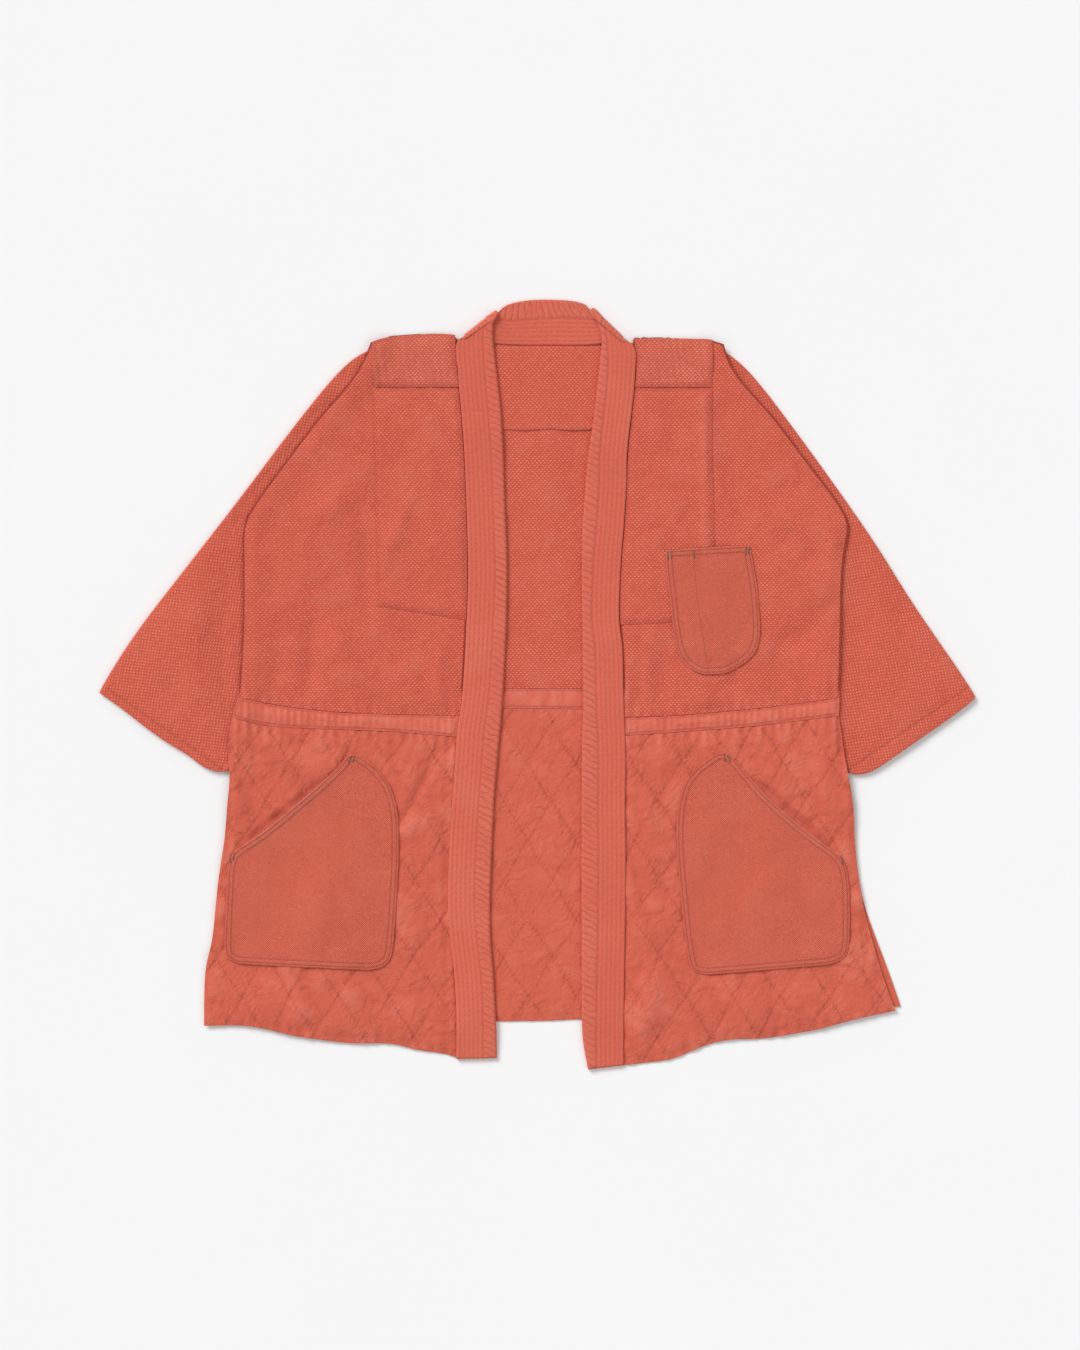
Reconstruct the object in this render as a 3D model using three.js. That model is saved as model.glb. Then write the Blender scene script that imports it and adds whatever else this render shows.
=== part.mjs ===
// Kendo jacket lying face up, in millimetres: collar toward +Y, floor at z = 0.
// Right and left are the wearer's, so the right front is at -X.
import * as THREE from "three";

const gap = 0.3;
const bodyCloth = 2.0;
const skirtCloth = 1.7;
const waistCloth = 1.8;
const patchCloth = 1.1;
const yokeCloth = 1.3;
const pocketCloth = 1.2;
const collarThickness = 4.2;
const sleeveCloth = 1.9;
const sleeveHeight = 5.8;
const frontBase = 2.5;
const sleeveTuck = 12;
const sleeveClear = 2.4;
const armpit = 176;
const placesAbove = [0.24, 0.5, 0.74, 0.9, 1];
const placesBelow = [0.2, 0.6];
const armholeClear = 30;
const pocketMouth = 1.6;
const diamondWidth = 54;
const diamondHeight = 86;
const diamondRelief = 0.8;
const backDiamondRelief = 0.5;
const gatherSpacing = 14;
const gatherRelief = 0.7;
const backGatherRelief = 0.4;
const edgeRound = 1.2;
const overSleeveRise = sleeveHeight + 0.7 - frontBase;
const raisedWidth = 16;
const raisedEnd = 30;
const patchLift = 0.15;
const hipPocketLift = 0.3;
const chestPocketLift = 0.5;
const shoulderDrop = 1.5;
const shoulderLift = 0.9;
const collarRise = 1.5;
const foldRadius = 2.5;

// Sections down each front: body edge, seam of the collar, folded edge of the collar.
const rightFront = [
  { y: 386, edge: -182.6, seam: -90.0, fold: -49.0 },
  { y: 376, edge: -182.6, seam: -89.2, fold: -48.8 },
  { y: 362, edge: -184.3, seam: -88.4, fold: -47.0 },
  { y: 348, edge: -193.6, seam: -87.5, fold: -45.4 },
  { y: 330, edge: -205.5, seam: -85.7, fold: -42.7 },
  { y: 304, edge: -231.0, seam: -83.3, fold: -39.8 },
  { y: 262, edge: -263.0, seam: -80.1, fold: -37.3 },
  { y: 206, edge: -304.7, seam: -77.7, fold: -35.3 },
  { y: 174, edge: -324.5, seam: -76.6, fold: -34.1 },
  { y: 153, edge: -323.2, seam: -76.0, fold: -33.2 },
  { y: 117, edge: -322.9, seam: -75.5, fold: -32.7 },
  { y: 61, edge: -323.4, seam: -77.6, fold: -33.7 },
  { y: 8, edge: -326.2, seam: -80.4, fold: -36.3 },
  { y: -14, edge: -328.4, seam: -82.3, fold: -37.6 },
  { y: -33, edge: -333.9, seam: -84.7, fold: -39.0 },
  { y: -51, edge: -338.8, seam: -87.6, fold: -40.5 },
  { y: -72, edge: -339.9, seam: -89.0, fold: -42.5 },
  { y: -92, edge: -338.8, seam: -90.4, fold: -44.3 },
  { y: -108, edge: -336.3, seam: -91.5, fold: -45.8 },
  { y: -127, edge: -339.9, seam: -93.0, fold: -47.0 },
  { y: -171, edge: -343.2, seam: -95.8, fold: -49.1 },
  { y: -210, edge: -349.8, seam: -97.3, fold: -50.7 },
  { y: -250, edge: -353.7, seam: -97.6, fold: -51.5 },
  { y: -287, edge: -357.5, seam: -94.5, fold: -50.5 },
  { y: -303, edge: -363.0, seam: -92.4, fold: -49.0 },
  { y: -320, edge: -365.2, seam: -90.8, fold: -47.8 },
  { y: -347, edge: -365.8, seam: -89.1, fold: -46.4 },
  { y: -374, edge: -365.8, seam: -88.4, fold: -44.8 },
  { y: -410, edge: -365.8, seam: -88.6, fold: -44.0 },
];
const leftFront = [
  { y: 386, edge: 205.0, seam: 106.5, fold: 71.5 },
  { y: 375, edge: 205.0, seam: 106.8, fold: 71.0 },
  { y: 355, edge: 209.0, seam: 108.6, fold: 68.5 },
  { y: 338, edge: 218.9, seam: 108.0, fold: 66.8 },
  { y: 321, edge: 235.4, seam: 106.0, fold: 65.4 },
  { y: 292, edge: 261.8, seam: 103.0, fold: 62.2 },
  { y: 256, edge: 288.2, seam: 98.9, fold: 56.8 },
  { y: 226, edge: 311.3, seam: 98.4, fold: 53.7 },
  { y: 200, edge: 331.1, seam: 97.0, fold: 51.9 },
  { y: 181, edge: 344.0, seam: 95.7, fold: 50.4 },
  { y: 172, edge: 344.0, seam: 95.1, fold: 49.6 },
  { y: 153, edge: 338.8, seam: 93.4, fold: 49.3 },
  { y: 124, edge: 335.5, seam: 91.4, fold: 49.1 },
  { y: 71, edge: 334.4, seam: 90.2, fold: 49.5 },
  { y: 58, edge: 334.2, seam: 92.5, fold: 49.8 },
  { y: 21, edge: 333.3, seam: 94.3, fold: 50.2 },
  { y: -15, edge: 332.2, seam: 95.0, fold: 50.6 },
  { y: -37, edge: 331.7, seam: 95.8, fold: 50.3 },
  { y: -61, edge: 335.5, seam: 96.8, fold: 49.3 },
  { y: -87, edge: 338.8, seam: 97.3, fold: 49.2 },
  { y: -127, edge: 347.1, seam: 96.8, fold: 49.1 },
  { y: -183, edge: 349.8, seam: 97.3, fold: 49.0 },
  { y: -220, edge: 354.8, seam: 97.2, fold: 49.0 },
  { y: -259, edge: 362.0, seam: 96.8, fold: 49.0 },
  { y: -282, edge: 369.0, seam: 96.4, fold: 49.0 },
  { y: -305, edge: 375.0, seam: 96.0, fold: 49.0 },
  { y: -337, edge: 386.0, seam: 95.5, fold: 49.0 },
  { y: -360, edge: 394.0, seam: 95.2, fold: 49.2 },
  { y: -385, edge: 396.0, seam: 95.0, fold: 49.6 },
  { y: -422, edge: 396.0, seam: 95.0, fold: 56.0 },
];
// Side edges of the back below the cuffs.
const backSides = [
  { y: -128, right: -338.6, left: 346.0 },
  { y: -171, right: -343.2, left: 349.8 },
  { y: -210, right: -349.8, left: 352.4 },
  { y: -250, right: -353.7, left: 361.8 },
  { y: -287, right: -357.5, left: 375.8 },
  { y: -320, right: -365.2, left: 388.0 },
  { y: -347, right: -365.8, left: 398.4 },
  { y: -374, right: -365.8, left: 400.4 },
];
// Lines across the body: shoulders, waist seams and hems.
const shoulders = [
  { x: -183, front: 375.6, back: 372.6 },
  { x: -168, front: 380.6, back: 377.6 },
  { x: -144, front: 383.4, back: 380.4 },
  { x: -108, front: 385.6, back: 382.6 },
  { x: -90, front: 384.5, back: 381.6 },
  { x: -76, front: 384.0, back: 378.4 },
  { x: -62, front: 384.0, back: 374.0 },
  { x: -50, front: 384.0, back: 372.8 },
  { x: 0, front: 384.0, back: 372.8 },
  { x: 60, front: 384.0, back: 372.6 },
  { x: 78, front: 382.0, back: 373.2 },
  { x: 92, front: 380.5, back: 375.0 },
  { x: 107, front: 380.1, back: 377.0 },
  { x: 135, front: 380.6, back: 377.6 },
  { x: 170, front: 380.1, back: 377.1 },
  { x: 188, front: 379.2, back: 376.2 },
  { x: 198, front: 376.8, back: 373.8 },
  { x: 205, front: 373.6, back: 370.6 },
];
const rightWaist = [
  { x: -338, top: -13.5, low: -33.0 },
  { x: -328, top: -14.3, low: -38.5 },
  { x: -294, top: -21.5, low: -45.5 },
  { x: -261, top: -26.4, low: -47.9 },
  { x: -218, top: -30.8, low: -49.3 },
  { x: -162, top: -33.0, low: -51.7 },
  { x: -84, top: -34.7, low: -57.8 },
];
const leftWaist = [
  { x: 96, top: -36.3, low: -56.1 },
  { x: 146, top: -34.7, low: -52.8 },
  { x: 212, top: -29.7, low: -48.2 },
  { x: 272, top: -23.1, low: -41.8 },
  { x: 332, top: -14.9, low: -34.1 },
];
const backWaist = [
  { x: -320, top: -14.5, low: -36.0 },
  { x: -200, top: -10.0, low: -31.5 },
  { x: -35, top: -5.0, low: -26.4 },
  { x: 50, top: -5.0, low: -27.3 },
  { x: 200, top: -9.0, low: -30.0 },
  { x: 322, top: -14.5, low: -34.5 },
];
const rightHem = [
  { x: -366, y: -375.1 },
  { x: -320, y: -374.8 },
  { x: -301, y: -377.9 },
  { x: -265, y: -386.7 },
  { x: -241, y: -390.0 },
  { x: -205, y: -394.4 },
  { x: -156, y: -394.9 },
  { x: -132, y: -402.1 },
  { x: -108, y: -404.3 },
  { x: -88, y: -409.8 },
];
const leftHem = [
  { x: 95, y: -418.6 },
  { x: 134, y: -414.2 },
  { x: 158, y: -409.8 },
  { x: 171, y: -402.1 },
  { x: 195, y: -393.3 },
  { x: 219, y: -389.4 },
  { x: 243, y: -390.0 },
  { x: 291, y: -382.3 },
  { x: 316, y: -377.9 },
  { x: 340, y: -370.2 },
  { x: 396, y: -358.0 },
];
const backHem = [
  { x: -366, y: -369.0 },
  { x: -44, y: -370.7 },
  { x: -24, y: -370.2 },
  { x: -3, y: -368.0 },
  { x: 8, y: -366.9 },
  { x: 20, y: -370.7 },
  { x: 31, y: -370.7 },
  { x: 47, y: -367.4 },
  { x: 400, y: -354.0 },
];
// Sleeves, from the armhole to the cuff.
const rightSleeve = {
  outer: [
    { x: -170.6, y: 373.4 },
    { x: -184.0, y: 374.0 },
    { x: -194.5, y: 367.6 },
    { x: -205.7, y: 357.8 },
    { x: -228.8, y: 332.2 },
    { x: -260.7, y: 292.6 },
    { x: -320.1, y: 213.4 },
    { x: -350.9, y: 173.8 },
    { x: -391.6, y: 121.0 },
    { x: -433.4, y: 68.2 },
    { x: -468.6, y: 15.4 },
    { x: -482.9, y: -9.9 },
  ],
  under: [
    { x: -309.5, y: 60.0 },
    { x: -313.5, y: 0.0 },
    { x: -324.5, y: -60.0 },
    { x: -323.5, y: -90.0 },
  ],
  cuff: [
    { x: -482.9, y: -9.9 },
    { x: -458.7, y: -25.9 },
    { x: -434.5, y: -45.7 },
    { x: -410.3, y: -63.3 },
    { x: -386.1, y: -76.5 },
    { x: -367.4, y: -91.5 },
    { x: -356.0, y: -101.8 },
    { x: -350.0, y: -102.4 },
    { x: -338.0, y: -92.0 },
    { x: -323.5, y: -90.0 },
  ],
};
const leftSleeve = {
  outer: [
    { x: 193.2, y: 373.0 },
    { x: 205.0, y: 373.0 },
    { x: 215.6, y: 363.9 },
    { x: 223.3, y: 356.2 },
    { x: 244.2, y: 332.2 },
    { x: 283.8, y: 279.4 },
    { x: 322.3, y: 226.6 },
    { x: 377.3, y: 147.4 },
    { x: 409.2, y: 94.6 },
    { x: 445.5, y: 41.8 },
    { x: 464.2, y: 15.4 },
    { x: 482.9, y: -13.8 },
  ],
  under: [
    { x: 320.0, y: 60.0 },
    { x: 319.0, y: 0.0 },
    { x: 321.5, y: -60.0 },
    { x: 328.5, y: -91.0 },
  ],
  cuff: [
    { x: 482.9, y: -13.8 },
    { x: 480.7, y: -21.0 },
    { x: 475.5, y: -24.6 },
    { x: 460.9, y: -33.9 },
    { x: 424.6, y: -58.6 },
    { x: 396.0, y: -78.4 },
    { x: 376.2, y: -91.8 },
    { x: 360.5, y: -103.4 },
    { x: 353.5, y: -105.4 },
    { x: 343.0, y: -95.0 },
    { x: 328.5, y: -91.0 },
  ],
};
// The collar's turn at each side of the neck: seam edge, folded edge, height of its middle.
const rightNeck = [
  { seamX: -87.2, seamY: 362.0, foldX: -46.9, foldY: 368.0, z: 6.9 },
  { seamX: -87.0, seamY: 374.0, foldX: -48.4, foldY: 385.0, z: 7.0 },
  { seamX: -84.0, seamY: 380.2, foldX: -47.6, foldY: 398.0, z: 7.1 },
];
const leftNeck = [
  { seamX: 107.4, seamY: 357.0, foldX: 69.6, foldY: 362.0, z: 6.9 },
  { seamX: 105.6, seamY: 370.0, foldX: 71.0, foldY: 379.0, z: 7.0 },
  { seamX: 100.5, seamY: 376.4, foldX: 66.8, foldY: 396.0, z: 7.1 },
];
const rightTurn = { seamX: -77.5, seamY: 380.8, foldX: -42.5, foldY: 408.5, outX: -0.621, outY: 0.785 };
const leftTurn = { seamX: 92.2, seamY: 378.8, foldX: 58.5, foldY: 411.4, outX: 0.695, outY: 0.719 };
const backCollar = [
  { seamX: -70, seamY: 380.2, foldX: -36.5, foldY: 415.0 },
  { seamX: -60, seamY: 377.8, foldX: -28, foldY: 418.8 },
  { seamX: -46, seamY: 375.0, foldX: -16, foldY: 421.4 },
  { seamX: -15, seamY: 373.2, foldX: 2, foldY: 423.0 },
  { seamX: 15, seamY: 373.2, foldX: 20, foldY: 422.9 },
  { seamX: 46, seamY: 373.1, foldX: 37, foldY: 421.8 },
  { seamX: 68, seamY: 374.2, foldX: 48, foldY: 419.6 },
  { seamX: 84, seamY: 376.4, foldX: 54.5, foldY: 416.4 },
];
// Pieces sewn on, as sections from their upper to their lower edge.
const rightHipPocket = [
  { rightX: -206.5, rightY: -77.0, leftX: -199.0, leftY: -76.4 },
  { rightX: -210.0, rightY: -80.5, leftX: -190.0, leftY: -81.0 },
  { rightX: -217.0, rightY: -89.5, leftX: -178.5, leftY: -89.0 },
  { rightX: -232.0, rightY: -104.0, leftX: -165.0, leftY: -104.0 },
  { rightX: -254.5, rightY: -123.5, leftX: -155.8, leftY: -123.0 },
  { rightX: -281.0, rightY: -146.0, leftX: -152.4, leftY: -144.0 },
  { rightX: -300.0, rightY: -161.5, leftX: -151.7, leftY: -162.0 },
  { rightX: -324.0, rightY: -177.5, leftX: -151.7, leftY: -182.0 },
  { rightX: -339.0, rightY: -187.6, leftX: -152.2, leftY: -200.0 },
  { rightX: -340.5, rightY: -222.0, leftX: -153.6, leftY: -230.0 },
  { rightX: -342.2, rightY: -256.0, leftX: -155.8, leftY: -262.0 },
  { rightX: -343.5, rightY: -286.0, leftX: -158.0, leftY: -288.0 },
  { rightX: -342.6, rightY: -296.5, leftX: -159.4, leftY: -298.5 },
  { rightX: -338.0, rightY: -303.0, leftX: -163.5, leftY: -306.5 },
  { rightX: -328.0, rightY: -306.4, leftX: -172.5, leftY: -312.0 },
  { rightX: -312.0, rightY: -307.6, leftX: -186.0, leftY: -313.6 },
];
const leftHipPocket = [
  { rightX: 199.1, rightY: -74.7, leftX: 208.0, leftY: -74.4 },
  { rightX: 190.0, rightY: -80.2, leftX: 215.5, leftY: -80.1 },
  { rightX: 180.0, rightY: -87.3, leftX: 222.5, leftY: -88.0 },
  { rightX: 167.0, rightY: -98.5, leftX: 234.0, leftY: -102.0 },
  { rightX: 158.5, rightY: -115.5, leftX: 248.5, leftY: -119.5 },
  { rightX: 154.6, rightY: -136.5, leftX: 268.0, leftY: -137.5 },
  { rightX: 153.1, rightY: -156.0, leftX: 288.0, leftY: -155.0 },
  { rightX: 153.1, rightY: -178.0, leftX: 314.0, leftY: -175.0 },
  { rightX: 154.6, rightY: -197.0, leftX: 337.5, leftY: -189.5 },
  { rightX: 157.0, rightY: -224.0, leftX: 343.2, leftY: -216.0 },
  { rightX: 159.6, rightY: -251.0, leftX: 343.6, leftY: -247.0 },
  { rightX: 162.8, rightY: -281.0, leftX: 343.3, leftY: -274.0 },
  { rightX: 166.2, rightY: -301.7, leftX: 342.3, leftY: -292.0 },
  { rightX: 168.6, rightY: -311.5, leftX: 338.5, leftY: -300.0 },
  { rightX: 174.0, rightY: -317.0, leftX: 329.0, leftY: -305.4 },
  { rightX: 188.0, rightY: -318.6, leftX: 316.0, leftY: -308.0 },
];
const chestPocketSections = [
  { rightX: 141.1, rightY: 147.5, leftX: 233.4, leftY: 153.0 },
  { rightX: 141.1, rightY: 136.3, leftX: 236.8, leftY: 138.0 },
  { rightX: 143.4, rightY: 113.8, leftX: 241.0, leftY: 113.8 },
  { rightX: 146.2, rightY: 91.4, leftX: 243.6, leftY: 91.4 },
  { rightX: 148.4, rightY: 68.9, leftX: 245.3, leftY: 68.9 },
  { rightX: 150.7, rightY: 52.1, leftX: 245.3, leftY: 52.0 },
  { rightX: 154.0, rightY: 36.4, leftX: 241.2, leftY: 36.8 },
  { rightX: 159.5, rightY: 25.5, leftX: 233.5, leftY: 27.8 },
  { rightX: 166.5, rightY: 18.5, leftX: 224.0, leftY: 20.5 },
  { rightX: 174.5, rightY: 13.7, leftX: 214.5, leftY: 15.2 },
  { rightX: 184.0, rightY: 11.0, leftX: 204.5, leftY: 11.6 },
];
const rightChestPatchEdge = [
  { y: 325, x: -181.2 },
  { y: 258, x: -178.2 },
  { y: 181, x: -177.1 },
  { y: 80, x: -174.9 },
];
const leftChestPatchEdge = [
  { y: 325, x: 193.2 },
  { y: 258, x: 192.5 },
  { y: 181, x: 195.0 },
  { y: 66, x: 195.8 },
];
const shoulderPatchLow = 326.4;
const yokeLow = 280;

// Soft ridges of the fronts: middle, direction in degrees, half length, half width, height.
const frontRidges = [
  { x: -262, y: 128, turn: 62, length: 120, width: 26, height: 2.6 },
  { x: -214, y: 60, turn: 112, length: 80, width: 24, height: 1.8 },
  { x: -225, y: 236, turn: 52, length: 80, width: 24, height: 1.6 },
  { x: -130, y: 10, turn: 95, length: 60, width: 24, height: 1.4 },
  { x: -230, y: -215, turn: 100, length: 90, width: 34, height: 1.8 },
  { x: -270, y: -330, turn: 80, length: 60, width: 40, height: 1.5 },
  { x: -128, y: -250, turn: 92, length: 110, width: 24, height: 1.5 },
  { x: 268, y: 150, turn: 122, length: 110, width: 26, height: 2.4 },
  { x: 292, y: 40, turn: 100, length: 80, width: 24, height: 2.0 },
  { x: 218, y: 255, turn: 128, length: 70, width: 24, height: 1.6 },
  { x: 128, y: 30, turn: 84, length: 60, width: 24, height: 1.2 },
  { x: 235, y: -200, turn: 84, length: 100, width: 32, height: 1.9 },
  { x: 300, y: -330, turn: 70, length: 60, width: 40, height: 1.6 },
  { x: 128, y: -240, turn: 92, length: 120, width: 24, height: 1.6 },
];
const sleeveRidges = [
  { x: -330, y: 120, turn: 60, length: 130, width: 24, height: 2.6 },
  { x: -392, y: 62, turn: 48, length: 100, width: 22, height: 2.2 },
  { x: -290, y: 215, turn: 52, length: 70, width: 20, height: 1.6 },
  { x: -365, y: -20, turn: 70, length: 60, width: 20, height: 1.8 },
  { x: 350, y: 118, turn: 118, length: 130, width: 24, height: 2.6 },
  { x: 408, y: 50, turn: 130, length: 100, width: 22, height: 2.2 },
  { x: 312, y: 205, turn: 126, length: 70, width: 20, height: 1.6 },
  { x: 372, y: -30, turn: 112, length: 60, width: 20, height: 1.8 },
];

// Smooth reading of one column of a table against another.
function curve(rows, at, of) {
  const known = [...rows].sort((a, b) => a[at] - b[at]);
  const slope = (i) => {
    const a = known[Math.max(i - 1, 0)];
    const b = known[Math.min(i + 1, known.length - 1)];
    return (b[of] - a[of]) / (b[at] - a[at]);
  };
  return (value) => {
    const last = known.length - 1;
    if (value <= known[0][at]) return known[0][of];
    if (value >= known[last][at]) return known[last][of];
    let i = 0;
    while (known[i + 1][at] < value) i += 1;
    const a = known[i];
    const b = known[i + 1];
    const run = b[at] - a[at];
    const t = (value - a[at]) / run;
    const t2 = t * t;
    const t3 = t2 * t;
    return (
      a[of] * (2 * t3 - 3 * t2 + 1) +
      b[of] * (3 * t2 - 2 * t3) +
      run * (slope(i) * (t3 - 2 * t2 + t) + slope(i + 1) * (t3 - t2))
    );
  };
}

function mix(a, b, t) {
  return a + (b - a) * t;
}

function smoothStep(from, to, value) {
  const t = Math.min(Math.max((value - from) / (to - from), 0), 1);
  return t * t * (3 - 2 * t);
}

// Shares of a line's length at which its points lie.
function sharesOf(points) {
  const lengths = [0];
  points.slice(1).forEach((p, i) => {
    lengths.push(lengths[i] + Math.hypot(p.x - points[i].x, p.y - points[i].y));
  });
  return lengths.map((length) => length / lengths[lengths.length - 1]);
}

// Point a share of the way along a line of points.
function along(points) {
  const shares = sharesOf(points);
  const rows = points.map((p, i) => ({ s: shares[i], x: p.x, y: p.y }));
  const x = curve(rows, "s", "x");
  const y = curve(rows, "s", "y");
  return (s) => ({ x: x(s), y: y(s) });
}

function ridgeHeight(rows, x, y) {
  return rows.reduce((sum, r) => {
    const turn = (r.turn * Math.PI) / 180;
    const lengthwise = (x - r.x) * Math.cos(turn) + (y - r.y) * Math.sin(turn);
    const across = (y - r.y) * Math.cos(turn) - (x - r.x) * Math.sin(turn);
    return sum + r.height * Math.exp(-((lengthwise / r.length) ** 2) - (across / r.width) ** 2);
  }, 0);
}

function diamondPuff(x, y) {
  const p = x / diamondWidth + y / diamondHeight;
  const q = x / diamondWidth - y / diamondHeight;
  return Math.sqrt(Math.abs(Math.sin(Math.PI * p) * Math.sin(Math.PI * q)));
}

function gatherPuff(x) {
  return 0.5 - 0.5 * Math.cos((2 * Math.PI * x) / gatherSpacing);
}

// Positions across a panel: near its first edge the named distances, then evenly to its second edge.
function spread(first, second, distances, count) {
  const side = Math.sign(second - first);
  const width = Math.abs(second - first);
  const reach = distances[distances.length - 1];
  const near = distances.map((d) => d * Math.min(1, (0.6 * width) / Math.max(reach, 1e-6)));
  const start = near[near.length - 1];
  const places = [...near];
  for (let i = 1; i < count; i += 1) places.push(mix(start, width - edgeRound, i / (count - 1)));
  places.push(width);
  return places.map((d) => first + side * d);
}

// Points over a panel between its side edges and its upper and lower edges.
function lattice({ first, second, top, low, distances, columns, rowDistances, rows }) {
  const count = spread(0, 1000, distances, columns).length;
  const rowCount = spread(0, 1000, rowDistances, rows).length;
  const points = [];
  for (let i = 0; i < rowCount; i += 1) {
    points.push([]);
    for (let j = 0; j < count; j += 1) {
      let y = (top(first(0)) + low(first(0))) / 2;
      let x = first(y);
      for (let step = 0; step < 8; step += 1) {
        x = spread(first(y), second(y), distances, columns)[j];
        y = spread(top(x), low(x), rowDistances, rows)[i];
      }
      points[i].push({ x, y });
    }
  }
  return points;
}

// Closed wall between a lower and an upper height over a lattice.
function wall(points, lowAt, highAt) {
  const positions = [];
  const faces = [];
  const rows = points.length;
  const columns = points[0].length;
  const total = rows * columns;
  [lowAt, highAt].forEach((heightAt) => {
    points.forEach((row, i) => row.forEach((p, j) => {
      const end = i === 0 || j === 0 || i === rows - 1 || j === columns - 1;
      const low = lowAt(p.x, p.y, i, j);
      const high = highAt(p.x, p.y, i, j);
      const own = heightAt === lowAt ? low : high;
      positions.push(p.x, p.y, end ? mix(own, (low + high) / 2, 0.4) : own);
    }));
  });
  const at = (i, j) => i * columns + j;
  const facesUp = cross(points[0][0], points[1][0], points[0][1]) > 0;
  const add = (a, b, c) => (facesUp ? faces.push(a, b, c) : faces.push(a, c, b));
  for (let i = 0; i < rows - 1; i += 1) {
    for (let j = 0; j < columns - 1; j += 1) {
      const a = at(i, j);
      const b = at(i + 1, j);
      const c = at(i + 1, j + 1);
      const d = at(i, j + 1);
      add(total + a, total + b, total + c);
      add(total + a, total + c, total + d);
      add(a, c, b);
      add(a, d, c);
    }
  }
  const rim = [];
  for (let i = 0; i < rows - 1; i += 1) rim.push(at(i, 0));
  for (let j = 0; j < columns - 1; j += 1) rim.push(at(rows - 1, j));
  for (let i = rows - 1; i > 0; i -= 1) rim.push(at(i, columns - 1));
  for (let j = columns - 1; j > 0; j -= 1) rim.push(at(0, j));
  rim.forEach((a, k) => {
    const b = rim[(k + 1) % rim.length];
    add(a, b, total + b);
    add(a, total + b, total + a);
  });
  return geometryFrom(positions, faces);
}

function cross(o, a, b) {
  return (a.x - o.x) * (b.y - o.y) - (a.y - o.y) * (b.x - o.x);
}

function geometryFrom(positions, faces) {
  const geometry = new THREE.BufferGeometry();
  geometry.setAttribute("position", new THREE.Float32BufferAttribute(positions, 3));
  geometry.setIndex(faces);
  geometry.computeVertexNormals();
  return geometry;
}

// Rings of points joined along their length; open ends are capped, paired rings leave a hollow.
function loft(rings) {
  const size = rings[0].length;
  const positions = rings.flat().flatMap((p) => [p.x, p.y, p.z]);
  const faces = [];
  rings.slice(1).forEach((_, i) => {
    for (let k = 0; k < size; k += 1) {
      const a = i * size + k;
      const b = i * size + ((k + 1) % size);
      faces.push(a, b, b + size, a, b + size, a + size);
    }
  });
  return { positions, faces, size };
}

function front(rows, side) {
  const edge = curve(rows, "y", "edge");
  const seam = curve(rows, "y", "seam");
  return {
    side,
    first: (y) => edge(y),
    second: (y) => seam(y) + side * gap,
    fold: curve(rows, "y", "fold"),
    seam,
    distances: [0, edgeRound, raisedWidth, raisedEnd],
  };
}

const rightSide = front(rightFront, -1);
const leftSide = front(leftFront, 1);
const backTop = curve(shoulders, "x", "back");
const frontTop = curve(shoulders, "x", "front");
const backWaistTop = curve(backWaist, "x", "top");
const backWaistLow = curve(backWaist, "x", "low");
const backHemAt = curve(backHem, "x", "y");

// How far a front is raised to lie over the sleeve tucked under its edge.
function overSleeve(side, x, y) {
  const inward = Math.abs(x - side.first(y));
  const nearEdge = 1 - smoothStep(raisedWidth, raisedEnd, inward);
  return overSleeveRise * nearEdge * smoothStep(-172, -130, y);
}

// Inner height of the fronts, without their quilting.
function frontInner(side, x, y) {
  const inward = Math.abs(x - side.first(y));
  const raised = overSleeve(side, x, y);
  const folds = ridgeHeight(frontRidges, x, y) * smoothStep(0, 26, inward);
  const beside = Math.abs(x - side.seam(y));
  const toCollar = collarRise * (1 - smoothStep(0, 45, beside)) * smoothStep(225, 275, y);
  const beyondHem = backHemAt(x) - y;
  const droop = frontBase * Math.min(Math.max((beyondHem - 12) / 24, 0), 1);
  return frontBase + raised + folds + toCollar - droop;
}

// The front's upper row curls down toward the back at the shoulder.
function shoulderCurl(side, x, y, row) {
  const raised = overSleeve(side, x, y) / overSleeveRise;
  return row === 0 ? shoulderDrop * (1 - raised) : 0;
}

function bodiceLattice(side, waist) {
  const waistTop = curve(waist, "x", "top");
  return lattice({
    ...side,
    top: frontTop,
    low: (x) => waistTop(x) + gap,
    columns: 8,
    rowDistances: [0, edgeRound, 28, 55],
    rows: 15,
  });
}

function frontBodice(side, waist) {
  return wall(
    bodiceLattice(side, waist),
    (x, y, i) => frontInner(side, x, y) - shoulderCurl(side, x, y, i),
    (x, y, i) => frontInner(side, x, y) + bodyCloth - shoulderCurl(side, x, y, i),
  );
}

// The shoulder patch lies on the upper rows of its front.
function shoulderPatch(side, outermost) {
  const points = lattice({
    ...side,
    first: (y) => side.side * Math.min(side.side * side.first(y), outermost),
    top: frontTop,
    low: () => shoulderPatchLow,
    distances: [0, edgeRound],
    columns: 14,
    rowDistances: [0, edgeRound, 28],
    rows: 5,
  });
  const lift = gap + shoulderLift;
  const floor = (x, y, i) => frontInner(side, x, y) + bodyCloth + lift - shoulderCurl(side, x, y, i);
  return wall(points, floor, (x, y, i) => floor(x, y, i) + patchCloth);
}

function chestPatch(side, edgeRows, low) {
  const points = lattice({
    first: curve(edgeRows, "y", "x"),
    second: (y) => side.second(y) + side.side * 0.6,
    top: () => shoulderPatchLow - 1,
    low,
    distances: [0, edgeRound],
    columns: 6,
    rowDistances: [0, edgeRound],
    rows: 13,
  });
  const floor = (x, y) => frontInner(side, x, y) + bodyCloth + gap + patchLift;
  return wall(points, floor, (x, y) => floor(x, y) + patchCloth);
}

function waistLattice(side, waist) {
  const top = curve(waist, "x", "top");
  const low = curve(waist, "x", "low");
  return lattice({ ...side, top, low, columns: 20, rowDistances: [0, edgeRound], rows: 3 });
}

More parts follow.
